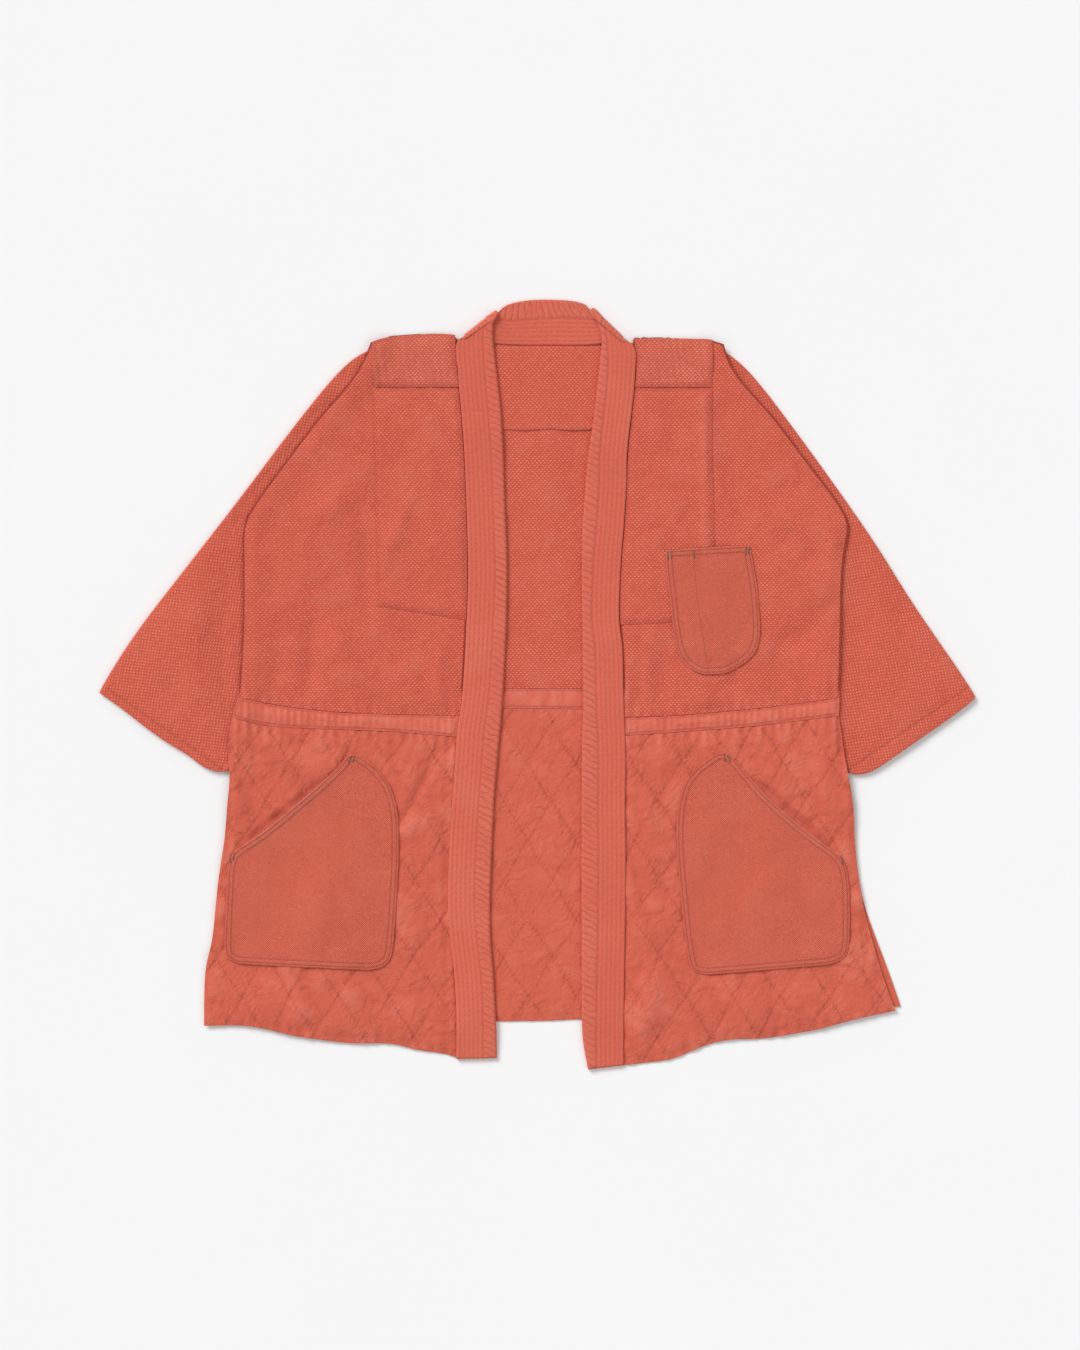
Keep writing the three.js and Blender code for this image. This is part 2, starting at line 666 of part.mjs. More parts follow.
function frontWaistband(side, waist) {
  const points = waistLattice(side, waist);
  const inner = (x, y) => frontInner(side, x, y);
  const gathers = (x, i) => (i > 1 && i < points.length - 2 ? gatherRelief * gatherPuff(x) : 0);
  return wall(points, inner, (x, y, i) => inner(x, y) + waistCloth + gathers(x, i));
}

function skirtLattice(side, waist, hem) {
  const waistLow = curve(waist, "x", "low");
  return lattice({
    ...side,
    top: (x) => waistLow(x) - gap,
    low: curve(hem, "x", "y"),
    columns: 16,
    rowDistances: [0, edgeRound],
    rows: 16,
  });
}

function frontSkirt(side, waist, hem) {
  const inner = (x, y) => frontInner(side, x, y);
  const outer = (x, y) => inner(x, y) + skirtCloth + diamondRelief * diamondPuff(x, y);
  return wall(skirtLattice(side, waist, hem), inner, outer);
}

// Section of a pocket a short way from one section toward the next.
function sectionBeside(from, to) {
  const share = edgeRound / Math.hypot(to.leftX - from.leftX, to.leftY - from.leftY);
  const at = (column) => mix(from[column], to[column], Math.min(share, 0.5));
  return { rightX: at("rightX"), rightY: at("rightY"), leftX: at("leftX"), leftY: at("leftY") };
}

// A pocket on its panel, one row of points along each section: its opening edge stands a little open.
function pocket(side, rows, floorAt, mouthAt) {
  const last = rows.length - 1;
  const sections = [
    rows[0],
    sectionBeside(rows[0], rows[1]),
    ...rows.slice(1, last),
    sectionBeside(rows[last], rows[last - 1]),
    rows[last],
  ];
  const points = sections.map((r) => {
    const run = Math.hypot(r.leftX - r.rightX, r.leftY - r.rightY);
    return spread(0, run, [0, edgeRound], 8).map((d) => ({
      x: mix(r.rightX, r.leftX, d / run),
      y: mix(r.rightY, r.leftY, d / run),
    }));
  });
  const inner = (x, y) => frontInner(side, x, y) + floorAt(x, y) + pocketMouth * mouthAt(x, y);
  return wall(points, inner, (x, y) => inner(x, y) + pocketCloth);
}

function hipPocket(side, rows, outerSide) {
  const outer = curve(rows, `${outerSide}Y`, `${outerSide}X`);
  const mouth = (x, y) => {
    const inward = Math.abs(x - outer(y));
    return (1 - smoothStep(0, 30, inward)) * smoothStep(-182, -150, y) * (1 - smoothStep(-100, -80, y));
  };
  return pocket(side, rows, () => skirtCloth + diamondRelief + gap + hipPocketLift, mouth);
}

function chestPocket() {
  const onPatch = (x, y) => (1 - smoothStep(198, 216, x)) * smoothStep(40, 62, y);
  const mouth = (x, y) => smoothStep(118, 150, y) * (1 - Math.abs((x - 187) / 48) ** 2);
  const floor = (x, y) => bodyCloth + gap + chestPocketLift + (patchCloth + gap) * onPatch(x, y);
  return pocket(leftSide, chestPocketSections, floor, (x, y) => Math.max(mouth(x, y), 0));
}

// Where a sleeve ends under its front: beside the armhole, then straight down to the cuff.
function sleeveEnd(table, side) {
  const under = curve(table.under, "y", "x");
  const start = { x: side.first(armpit) - side.side * sleeveTuck, y: armpit };
  return (y) => {
    if (y >= armpit) return side.first(Math.min(y, table.outer[0].y)) - side.side * sleeveTuck;
    return y < table.under[0].y ? under(y) : mix(under(table.under[0].y), start.x, smoothStep(60, armpit, y));
  };
}

// The back ends beside the sleeves as far as the cuffs, and at its own side edge below them.
function backEdge(side, sleeveTable, column) {
  const beside = sleeveEnd(sleeveTable, side);
  const low = curve(backSides, "y", column);
  return (y) => mix(low(y), beside(y) - side.side * sleeveClear, smoothStep(-142, -128, y));
}

function backLattice(top, low, columns, rows) {
  return lattice({
    first: backEdge(rightSide, rightSleeve, "right"),
    second: backEdge(leftSide, leftSleeve, "left"),
    top,
    low,
    distances: [0, edgeRound],
    columns,
    rowDistances: [0, edgeRound],
    rows,
  });
}

function backBodice() {
  const points = backLattice(backTop, (x) => backWaistTop(x) + gap + 0.2, 12, 14);
  return wall(points, () => 0, () => bodyCloth);
}

function backYoke() {
  const points = lattice({
    first: () => -70,
    second: () => 90,
    top: (x) => Math.min(backTop(x), 373) - 0.4,
    low: (x) => yokeLow + 1.6 * Math.sin(x / 9),
    distances: [0, edgeRound],
    columns: 10,
    rowDistances: [0, edgeRound],
    rows: 5,
  });
  return wall(points, () => bodyCloth + gap, () => bodyCloth + gap + yokeCloth);
}

function backWaistband() {
  const points = backLattice(backWaistTop, backWaistLow, 30, 3);
  const gathers = (x, i) => (i > 1 && i < points.length - 2 ? backGatherRelief * gatherPuff(x) : 0);
  return wall(points, () => 0, (x, y, i) => waistCloth + gathers(x, i));
}

function backSkirt() {
  const points = backLattice((x) => backWaistLow(x) - gap, backHemAt, 21, 12);
  return wall(points, () => 0, (x, y) => skirtCloth + backDiamondRelief * diamondPuff(x + 8, y));
}

// One ring of a sleeve: along its top from the outer to the under edge and back along its underside.
function sleeveRing(plan, side, share, inset, corner) {
  const a = plan(share, 0);
  const b = plan(share, 1);
  const width = Math.hypot(b.x - a.x, b.y - a.y);
  const radius = sleeveHeight / 2 - inset;
  const middle = sleeveHeight / 2;
  const places = [inset, inset + 0.3 * radius, inset + radius];
  placesAbove.forEach((c) => places.push(c * corner * width));
  placesBelow.forEach((c) => places.push(mix(corner, 1, c) * width));
  places.push(width - inset - radius, width - inset - 0.3 * radius, width - inset);
  const rise = (d) => {
    const fromEdge = Math.min(d, width - d) - inset;
    return fromEdge >= radius ? radius : Math.sqrt(Math.max(radius ** 2 - (radius - fromEdge) ** 2, 0));
  };
  const folded = (p, d) => {
    const outside = side.side * (p.x - side.first(p.y));
    const clear = smoothStep(30, 75, outside) * smoothStep(6, 40, d) * smoothStep(24, 60, width - d);
    return ridgeHeight(sleeveRidges, p.x, p.y) * clear;
  };
  const upper = places.map((d) => {
    const p = plan(share, d / width);
    return { x: p.x, y: p.y, z: middle + rise(d) + folded(p, d) };
  });
  const lower = places.slice(1, -1).reverse().map((d) => {
    const p = plan(share, d / width);
    return { x: p.x, y: p.y, z: middle - rise(d) };
  });
  return [...upper, ...lower];
}

function sleeve(table, side) {
  const outer = along(table.outer);
  const under = along(table.under);
  const cuff = along(table.cuff);
  const end = sleeveEnd(table, side);
  const endHeights = [table.outer[0].y, 348, 325, 300, 270, 240, 206, 184, armpit, 160, 130, 95, 60];
  const armholePoints = endHeights.map((y) => ({ x: end(y), y }));
  const corner = sharesOf(armholePoints)[endHeights.indexOf(armpit)];
  const armhole = along(armholePoints);
  const plan = (a, c) => {
    const o = outer(a);
    const u = under(a);
    const h = armhole(c);
    const w = cuff(c);
    const value = (k) =>
      mix(o[k], u[k], c) +
      mix(h[k], w[k], a) -
      mix(mix(outer(0)[k], outer(1)[k], a), mix(under(0)[k], under(1)[k], a), c);
    const y = value("y");
    const outward = side.side * end(y) + armholeClear * a * (1 - c);
    return { x: side.side * Math.max(side.side * value("x"), outward), y };
  };
  const shares = [0, 0.07, 0.16, 0.27, 0.38, 0.49, 0.6, 0.71, 0.82, 0.92, 1];
  const outside = loft(shares.map((a) => sleeveRing(plan, side, a, 0, corner)));
  const inside = loft(shares.map((a) => sleeveRing(plan, side, a, sleeveCloth, corner)));
  const size = outside.size;
  const offset = outside.positions.length / 3;
  const faces = [...outside.faces];
  for (let i = 0; i < inside.faces.length; i += 3) {
    faces.push(inside.faces[i] + offset, inside.faces[i + 2] + offset, inside.faces[i + 1] + offset);
  }
  const last = (shares.length - 1) * size;
  for (let k = 0; k < size; k += 1) {
    const next = (k + 1) % size;
    faces.push(k, next + offset, next, k, k + offset, next + offset);
    faces.push(last + k, last + next, last + next + offset, last + k, last + next + offset, last + k + offset);
  }
  return turnedOut([...outside.positions, ...inside.positions], faces);
}

// Turns all faces over when their enclosed volume comes out negative.
function turnedOut(positions, faces) {
  const at = (i) => new THREE.Vector3().fromArray(positions, i * 3);
  let volume = 0;
  for (let i = 0; i < faces.length; i += 3) {
    volume += at(faces[i]).dot(at(faces[i + 1]).cross(at(faces[i + 2])));
  }
  const turned = volume > 0 ? faces : faces.map((_, i) => faces[i - (i % 3) + [0, 2, 1][i % 3]]);
  return geometryFrom(positions, turned);
}

// Section of the collar band: from its seam edge to its rounded folded edge.
function collarSection(seam, fold, normal) {
  const across = fold.clone().sub(seam).normalize();
  const half = collarThickness / 2;
  const at = (from, inward, up) => from.clone().addScaledVector(across, inward).addScaledVector(normal, up);
  return [
    at(seam, 0, half * 0.5),
    at(seam, 1, half),
    at(seam.clone().lerp(fold, 0.5), 0, half),
    at(fold, -1.8, half),
    at(fold, 0, half * 0.35),
    at(fold, 0, -half * 0.35),
    at(fold, -1.8, -half),
    at(seam.clone().lerp(fold, 0.5), 0, -half),
    at(seam, 1, -half),
    at(seam, 0, -half * 0.5),
  ];
}

function collarStrip(side, waist, hem, lowest) {
  const panels = [bodiceLattice(side, waist), waistLattice(side, waist), skirtLattice(side, waist, hem)];
  const seamHeights = panels.flatMap((points) => points.map((row) => row[row.length - 1].y));
  const heights = seamHeights.filter((y, i) => i === 0 || seamHeights[i - 1] - y > 1);
  const up = new THREE.Vector3(0, 0, 1);
  const middle = (y) => {
    const overYoke = 1.7 * smoothStep(225, 275, y) + 0.8 * smoothStep(318, 360, y);
    const beyondHem = Math.max(-366 - y, 0);
    return frontBase + collarThickness / 2 + overYoke - frontBase * smoothStep(10, 44, beyondHem);
  };
  const sections = heights.filter((y) => y < 352 && y > lowest.foldY + 8).map((y) => {
    const z = middle(y);
    const seam = new THREE.Vector3(side.seam(y), y, z);
    return collarSection(seam, new THREE.Vector3(side.fold(y), y, z), up);
  });
  const endHeight = middle(lowest.foldY);
  sections.push(collarSection(
    new THREE.Vector3(side.seam(lowest.seamY), lowest.seamY, endHeight),
    new THREE.Vector3(side.fold(lowest.foldY), lowest.foldY, endHeight),
    up,
  ));
  return sections;
}

function neckSections(rows) {
  return rows.map((r) => collarSection(
    new THREE.Vector3(r.seamX, r.seamY, r.z),
    new THREE.Vector3(r.foldX, r.foldY, r.z),
    new THREE.Vector3(0, 0, 1),
  ));
}

// The band folds over a slanting line, from the front on top to the back of the neck underneath.
function turnSections(turn) {
  const axisHeight = collarThickness / 2 + foldRadius;
  return [0, 45, 90, 135, 180].map((degrees) => {
    const angle = (degrees * Math.PI) / 180;
    const out = Math.sin(angle);
    const normal = new THREE.Vector3(turn.outX * out, turn.outY * out, Math.cos(angle)).normalize();
    const shift = normal.clone().multiplyScalar(foldRadius);
    const seam = new THREE.Vector3(turn.seamX, turn.seamY, axisHeight).add(shift);
    return collarSection(seam, new THREE.Vector3(turn.foldX, turn.foldY, axisHeight).add(shift), normal);
  });
}

function collar() {
  const down = new THREE.Vector3(0, 0, -1);
  const back = backCollar.map((r) => collarSection(
    new THREE.Vector3(r.seamX, r.seamY, collarThickness / 2),
    new THREE.Vector3(r.foldX, r.foldY, collarThickness / 2),
    down,
  ));
  const rings = [
    ...collarStrip(rightSide, rightWaist, rightHem, { seamY: -411.5, foldY: -410.6 }).reverse(),
    ...neckSections(rightNeck),
    ...turnSections(rightTurn),
    ...back,
    ...turnSections(leftTurn).reverse(),
    ...neckSections(leftNeck).reverse(),
    ...collarStrip(leftSide, leftWaist, leftHem, { seamY: -418.6, foldY: -423.0 }),
  ];
  const { positions, faces, size } = loft(rings);
  const last = (rings.length - 1) * size;
  for (let k = 1; k < size - 1; k += 1) {
    faces.push(0, k + 1, k);
    faces.push(last, last + k, last + k + 1);
  }
  return turnedOut(positions, faces);
}

const group = new THREE.Group();

function add(name, geometry, color, roughness) {
  const material = new THREE.MeshStandardMaterial({ color, roughness, metalness: 0 });
  const mesh = new THREE.Mesh(geometry, material);
  mesh.name = name;
  group.add(mesh);
}

const bodyColor = "#cf5e4a";
const collarColor = "#d96c59";
const skirtColor = "#d1614e";
const waistColor = "#d96a57";
const pocketColor = "#c95b49";

add("back_bodice", backBodice(), bodyColor, 0.9);
add("back_yoke", backYoke(), bodyColor, 0.9);
add("back_waistband", backWaistband(), waistColor, 0.88);
add("back_skirt", backSkirt(), skirtColor, 0.88);
add("right_front_bodice", frontBodice(rightSide, rightWaist), bodyColor, 0.9);
add("left_front_bodice", frontBodice(leftSide, leftWaist), bodyColor, 0.9);
add("right_shoulder_patch", shoulderPatch(rightSide, 181), bodyColor, 0.9);
add("left_shoulder_patch", shoulderPatch(leftSide, 193), bodyColor, 0.9);
add("right_chest_patch", chestPatch(rightSide, rightChestPatchEdge, (x) => mix(71, 86, (-78 - x) / 96)), bodyColor, 0.9);
add("left_chest_patch", chestPatch(leftSide, leftChestPatchEdge, (x) => mix(65.5, 70, (x - 90) / 104)), bodyColor, 0.9);
add("right_sleeve", sleeve(rightSleeve, rightSide), bodyColor, 0.9);
add("left_sleeve", sleeve(leftSleeve, leftSide), bodyColor, 0.9);
add("right_front_waistband", frontWaistband(rightSide, rightWaist), waistColor, 0.88);
add("left_front_waistband", frontWaistband(leftSide, leftWaist), waistColor, 0.88);
add("right_front_skirt", frontSkirt(rightSide, rightWaist, rightHem), skirtColor, 0.88);
add("left_front_skirt", frontSkirt(leftSide, leftWaist, leftHem), skirtColor, 0.88);
add("collar", collar(), collarColor, 0.85);
add("chest_pocket", chestPocket(), pocketColor, 0.9);
add("right_hip_pocket", hipPocket(rightSide, rightHipPocket, "right"), pocketColor, 0.9);
add("left_hip_pocket", hipPocket(leftSide, leftHipPocket, "left"), pocketColor, 0.9);

export default group;
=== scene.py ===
# Kendo jacket lying face up: cloth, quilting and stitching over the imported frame, in a plain pale studio.
# Heights, folds and seams are worked out in millimetres and written to the meshes in metres.
import itertools
import math
import bmesh
import bpy
import numpy as np
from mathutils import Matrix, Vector
from mathutils.bvhtree import BVHTree
from mathutils.kdtree import KDTree


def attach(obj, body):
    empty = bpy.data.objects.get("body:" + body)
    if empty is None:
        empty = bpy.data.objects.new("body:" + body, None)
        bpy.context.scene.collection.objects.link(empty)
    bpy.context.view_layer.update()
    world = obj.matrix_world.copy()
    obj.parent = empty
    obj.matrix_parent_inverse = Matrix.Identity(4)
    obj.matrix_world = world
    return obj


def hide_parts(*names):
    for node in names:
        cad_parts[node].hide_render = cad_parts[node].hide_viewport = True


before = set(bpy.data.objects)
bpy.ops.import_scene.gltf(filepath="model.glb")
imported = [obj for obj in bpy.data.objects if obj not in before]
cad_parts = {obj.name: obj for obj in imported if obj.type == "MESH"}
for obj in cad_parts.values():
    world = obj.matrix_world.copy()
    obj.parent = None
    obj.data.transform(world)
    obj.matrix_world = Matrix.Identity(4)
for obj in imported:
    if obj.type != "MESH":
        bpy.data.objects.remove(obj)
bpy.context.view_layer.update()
mm = 0.001
print("frame loaded")


# Smooth step from 0 at low to 1 at high.
def smoothStep(low, high, value):
    t = np.clip((value - low) / (high - low), 0, 1)
    return t * t * (3 - 2 * t)


# Uneven noise from -1 to 1 whose bumps are about as wide as size.
def softNoise(x, y, size, seed):
    table = np.random.RandomState(seed).uniform(-1, 1, (64, 64))
    turn = 0.7 * seed
    u = (x * math.cos(turn) - y * math.sin(turn)) / size
    v = (x * math.sin(turn) + y * math.cos(turn)) / size
    i = np.floor(u).astype(int)
    j = np.floor(v).astype(int)
    s = smoothStep(0, 1, u - i)
    t = smoothStep(0, 1, v - j)
    low = table[i % 64, j % 64] * (1 - s) + table[(i + 1) % 64, j % 64] * s
    high = table[i % 64, (j + 1) % 64] * (1 - s) + table[(i + 1) % 64, (j + 1) % 64] * s
    return low * (1 - t) + high * t


# Creased noise: flat swellings parted by narrow valleys.
def crackle(x, y, size, seed):
    return 2 * np.abs(softNoise(x, y, size, seed)) - 0.7


# One at a line and dying away as the distance from it passes width.
def bell(distance, width):
    return np.exp(-((distance / width) ** 2))


# Sum of the listed folds; each is highest along its middle and dies away at both ends.
def foldHeight(folds, x, y):
    total = np.zeros(len(x))
    for startX, startY, endX, endY, bow, width, height in folds:
        run = math.hypot(endX - startX, endY - startY)
        alongX = (endX - startX) / run
        alongY = (endY - startY) / run
        share = ((x - startX) * alongX + (y - startY) * alongY) / run
        across = (y - startY) * alongX - (x - startX) * alongY - 4 * bow * share * (1 - share)
        ends = smoothStep(-0.1, 0.35, share) * smoothStep(-0.1, 0.35, 1 - share)
        total += height * ends * bell(across, width)
    return total


# The node's CAD mesh with its triangles' shared corners merged.
def mergedCopy(node):
    shell = bmesh.new()
    shell.from_mesh(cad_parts[node].data)
    bmesh.ops.remove_doubles(shell, verts=shell.verts, dist=0.02 * mm)
    shell.normal_update()
    return shell


# New object, selected and active.
def placeMesh(mesh):
    piece = bpy.data.objects.new(mesh.name, mesh)
    bpy.context.scene.collection.objects.link(piece)
    bpy.ops.object.select_all(action="DESELECT")
    piece.select_set(True)
    bpy.context.view_layer.objects.active = piece
    return piece


def meshFrom(name, shell):
    mesh = bpy.data.meshes.new(name)
    shell.to_mesh(mesh)
    shell.free()
    return mesh


def applyModifier(piece, kind, **settings):
    modifier = piece.modifiers.new(kind, kind)
    for name, value in settings.items():
        setattr(modifier, name, value)
    bpy.ops.object.modifier_apply(modifier=modifier.name)


def pointsOf(mesh):
    points = np.zeros(len(mesh.vertices) * 3)
    mesh.vertices.foreach_get("co", points)
    return points.reshape(-1, 3) / mm


def writePoints(mesh, points):
    mesh.vertices.foreach_set("co", (points * mm).ravel())
    mesh.update()


# The points round an open sheet in order, anticlockwise seen from above.
def outlineOf(mesh):
    shell = bmesh.new()
    shell.from_mesh(mesh)
    edge = next(e for e in shell.edges if e.is_boundary)
    first = edge.verts[0]
    vertex = edge.verts[1]
    loop = [first.co / mm]
    while vertex != first:
        loop.append(vertex.co / mm)
        edge = next(e for e in vertex.link_edges if e.is_boundary and e != edge)
        vertex = edge.other_vert(vertex)
    shell.free()
    loop = np.array([list(p) for p in loop])
    after = np.roll(loop, -1, axis=0)
    turned = np.sum(loop[:, 0] * after[:, 1] - after[:, 0] * loop[:, 1])
    return loop if turned > 0 else loop[::-1]


# Tree of points spaced finely round an outline, for distances inward.
def edgeTree(loop, spacing=0.6):
    after = np.roll(loop, -1, axis=0)
    points = []
    for a, b in zip(loop, after):
        count = max(int(np.linalg.norm(b - a) / spacing), 1)
        points.extend(a + (b - a) * k / count for k in range(count))
    tree = KDTree(len(points))
    for i, p in enumerate(points):
        tree.insert((p[0], p[1], 0), i)
    tree.balance()
    return tree


def inwardOf(tree, x, y):
    return np.array([tree.find((a, b, 0))[2] for a, b in zip(x, y)])


def keepNumber(mesh, name, values):
    attribute = mesh.attributes.new(name, "FLOAT", "POINT")
    attribute.data.foreach_set("value", np.asarray(values, dtype=np.float32))


# Folds that the fronts, and all that is sewn on them, share. Here and in the two tables below a row
# holds a fold's start x and y, its end x and y, its bow, its width and its height.
frontFolds = [
    (-250, 95, -258, -28, 7, 10, -1.9),
    (-228, 78, -172, -20, -9, 11, 3.0),
    (-174, 88, -112, -12, 7, 10, -1.9),
    (-286, 70, -292, -24, 4, 11, -1.3),
    (-193, 196, -187, 66, 4, 9, -1.8),
    (-262, 178, -188, 232, -8, 14, 1.8),
    (-252, 238, -206, 300, 6, 15, 1.2),
    (-180, 118, -140, 216, -6, 8, 1.5),
    (-128, 300, -116, 150, 6, 10, 1.1),
    (-100, 60, -104, -32, -5, 7, 1.5),
    (204, 322, 246, 146, -11, 14, -2.3),
    (246, 184, 346, 158, 8, 18, 2.6),
    (284, 150, 338, 134, -5, 6, -1.0),
    (332, 100, 252, 30, 7, 13, -2.0),
    (300, 40, 316, -26, 4, 12, 1.7),
    (262, 46, 268, -30, 3, 9, -1.5),
    (216, 30, 224, -32, -2, 8, -1.3),
    (112, 66, 110, -40, 2, 6, -1.5),
    (142, 66, 140, -38, -3, 12, -1.9),
    (170, 20, 190, -34, 3, 9, 1.4),
    (122, 246, 160, 176, 5, 10, 1.3),
    (-108, -66, -154, -156, 4, 5, -2.2),
    (-98, -210, -88, -310, 6, 6, -2.2),
    (-334, -74, -297, -158, -5, 9, -2.1),
    (-282, -46, -226, -84, -4, 6, -1.9),
    (-318, -56, -262, -112, 6, 9, 1.7),
    (-196, -346, -140, -372, 4, 5, -2.0),
    (-280, -326, -258, -376, 4, 12, 1.6),
    (-215, -330, -205, -388, -4, 12, 1.6),
    (98, -84, 138, -278, -15, 5, -2.4),
    (120, -110, 140, -230, -8, 11, 1.8),
    (352, -190, 364, -306, 7, 6, -2.0),
    (252, -68, 276, -118, 3, 8, 1.9),
    (306, -70, 316, -150, 4, 8, 1.7),
    (218, -86, 228, -236, 4, 13, -1.5),
    (-250, -300, -210, -180, 8, 22, 1.4),
    (280, -290, 260, -190, 8, 24, 1.3),
    (200, -330, 262, -392, 5, 12, 1.6),
    (128, -300, 110, -404, 4, 12, 1.7),
    (380, -260, 388, -352, -3, 9, 1.5),
]
sleeveFolds = [
    (-330, 160, -331, -110, 0, 19, -3.2),
    (-176, 378, -214, 330, 0, 10, -3.0),
    (-205, 340, -334, 172, 0, 9, -3.0),
    (204, 376, 228, 334, 0, 10, -3.0),
    (220, 340, 352, 172, 0, 9, -3.0),
    (-368, 130, -372, -74, -6, 16, 1.9),
    (-400, 96, -440, -20, 9, 18, 1.3),
    (-330, 180, -392, 96, -6, 14, 1.2),
    (-420, 20, -372, -60, 6, 10, -1.2),
    (397, 92, 434, 22, -9, 6, -1.9),
    (372, 84, 412, -24, -8, 17, 1.9),
    (350, 150, 345, -100, 0, 14, -2.6),
    (384, 150, 424, 78, 5, 10, 1.0),
    (396, -30, 372, -84, 4, 10, -1.1),
]
backFolds = [
    (4, 330, 22, 20, 5, 15, 1.6),
    (-22, 240, -10, 10, -4, 16, -1.0),
    (-24, 356, -8, 300, 4, 8, -0.8),
    (40, 300, 34, 60, 4, 12, -0.8),
    (-34, -92, -8, -150, -4, 5, -1.2),
    (-36, -200, -20, -290, 5, 6, -1.0),
    (24, -60, 34, -330, -6, 14, 1.2),
]


# Low relief of a front at any place, fading toward the edge of its panel.
def frontRelief(x, y, inward):
    waves = 1.0 + 1.1 * softNoise(x, y, 62, 3) + 0.5 * softNoise(x, y, 29, 4)
    reliefShare = 0.2 + 0.8 * smoothStep(0, 16, inward)
    return reliefShare * (1.25 * foldHeight(frontFolds, x, y) + waves)


def backRelief(x, y, inward):
    shown = smoothStep(0, 14, x + 60) * smoothStep(0, 14, 84 - x)
    waves = 0.35 + 0.5 * softNoise(x, y, 46, 5)
    return shown * smoothStep(0, 12, inward) * (foldHeight(backFolds, x, y) + waves)


# Sewn diamonds of the skirts: valleys along the seams and puckers across them.
diamondWidth = 54
diamondHeight = 86
quiltDepth = {"front": 0.48, "back": 0.55}
backQuiltShift = 8
seamSlope = math.hypot(1 / diamondWidth, 1 / diamondHeight)


# Counts of the rising and falling seams passed on the way to a place; whole numbers lie on a seam.
def quiltLines(x, y):
    warpedX = x + 3.6 * softNoise(x, y, 70, 11) + 1.5 * softNoise(x, y, 19, 15)
    warpedY = y + 4.4 * softNoise(x, y, 84, 12) + 1.8 * softNoise(x, y, 21, 16)
    rising = warpedX / diamondWidth + warpedY / diamondHeight
    falling = warpedX / diamondWidth - warpedY / diamondHeight
    return rising, falling


def quilting(x, y, depth):
    rising, falling = quiltLines(x, y)
    total = np.zeros(len(x))
    for line, other, seed in ((rising, falling, 13), (falling, rising, 14)):
        away = np.abs(line - np.round(line)) / seamSlope
        strength = 0.75 + 0.6 * softNoise(x, y, 34, seed)
        total -= depth * strength * bell(away, 2.6)
        ripple = np.sin(2 * math.pi * 5 * other + 2.5 * softNoise(x, y, 24, seed + 2))
        total += 0.4 * depth * ripple * strength * bell(away, 7.5)
    return total


# Small ripples that stand across a seam and die away from it.
def puckers(place, away, pitch, height, reach, seed):
    wander = 1.6 * softNoise(place, away * 0.4, 31, seed)
    uneven = 0.65 + 0.5 * softNoise(place, away, 17, seed + 1)
    return height * uneven * np.sin(2 * math.pi * place / pitch + wander) * bell(away, reach)


def bodiceDetail(x, y, edge):
    waist = smoothStep(30, -6, y)
    return (
        0.4 * crackle(x, y, 27, 24)
        + 0.24 * crackle(x, y, 15, 21)
        + puckers(x, edge, 12, 0.8, 11, 22) * waist
        + puckers(x + y, edge, 9, 0.3, 6, 23) * (1 - waist)
    )


# The slanting openings of the hip pockets stand away from the skirt, which dips beside them.
openings = {
    "right": {"start": (-217, -89), "end": (-338, -187), "rise": 2.2, "width": 11},
    "left": {"start": (224, -89), "end": (338, -191), "rise": 2.2, "width": 11},
}


def openingAt(side, x, y):
    opening = openings[side]
    startX, startY = opening["start"]
    endX, endY = opening["end"]
    run = math.hypot(endX - startX, endY - startY)
    share = ((x - startX) * (endX - startX) + (y - startY) * (endY - startY)) / run ** 2
    away = ((y - startY) * (endX - startX) - (x - startX) * (endY - startY)) / run
    return smoothStep(0.02, 0.3, share) * smoothStep(0.98, 0.75, share), away


def skirtDetail(x, y, edge):
    waist = smoothStep(-92, -62, y)
    return (
        quilting(x, y, quiltDepth["front"])
        + 0.8 * crackle(x, y, 27, 31)
        + 0.45 * crackle(x, y, 13, 32)
        + puckers(x, edge, 12, 1.0, 15, 33) * waist
        + puckers(x, edge, 14, 0.5, 12, 34) * (1 - waist)
        - sum(1.7 * shown * bell(away, 3.5) for shown, away in (
            openingAt("right", x, y), openingAt("left", x, y)))
    )


def backSkirtDetail(x, y, edge):
    shown = smoothStep(0, 14, x + 62) * smoothStep(0, 14, 86 - x)
    return (0.15 + 0.85 * shown) * (
        quilting(x + backQuiltShift, y, quiltDepth["back"])
        + 0.4 * crackle(x, y, 21, 41) + 0.25 * crackle(x, y, 10, 42)
        + puckers(x, edge, 11, 0.5, 12, 43)
    )


def bandDetail(x, y, edge):
    middle = smoothStep(0, 5, edge)
    ripples = 0.3 + puckers(x, edge * 0, 7.5, 0.6, 9, 51) + 0.45 * softNoise(x, y * 0.4, 8, 53)
    return middle * ripples + 0.35 * crackle(x, y, 12, 52)


# Sewn-down edges of a patch sink toward the panel under it.
def sunkEdge(edge):
    return -1.1 * (1 - smoothStep(0, 7, edge))


def shoulderDetail(x, y, edge):
    uneven = smoothStep(-0.5, 0.6, softNoise(x, y, 38, 62))
    ripples = puckers(x + 0.15 * y, edge * 0, 8.5, 0.5, 9, 61) * (0.25 + 0.75 * uneven)
    return ripples + 0.4 * crackle(x, y, 21, 63) + sunkEdge(edge) - 0.8


def patchDetail(x, y, edge):
    outerRidge = 0.7 * bell(np.abs(x) - 184, 5) * smoothStep(0, 10, edge)
    weave = 0.4 * crackle(x, y, 27, 24) + 0.24 * crackle(x, y, 15, 21)
    return weave + outerRidge + puckers(x + y, edge, 8, 0.3, 7, 72) + sunkEdge(edge)


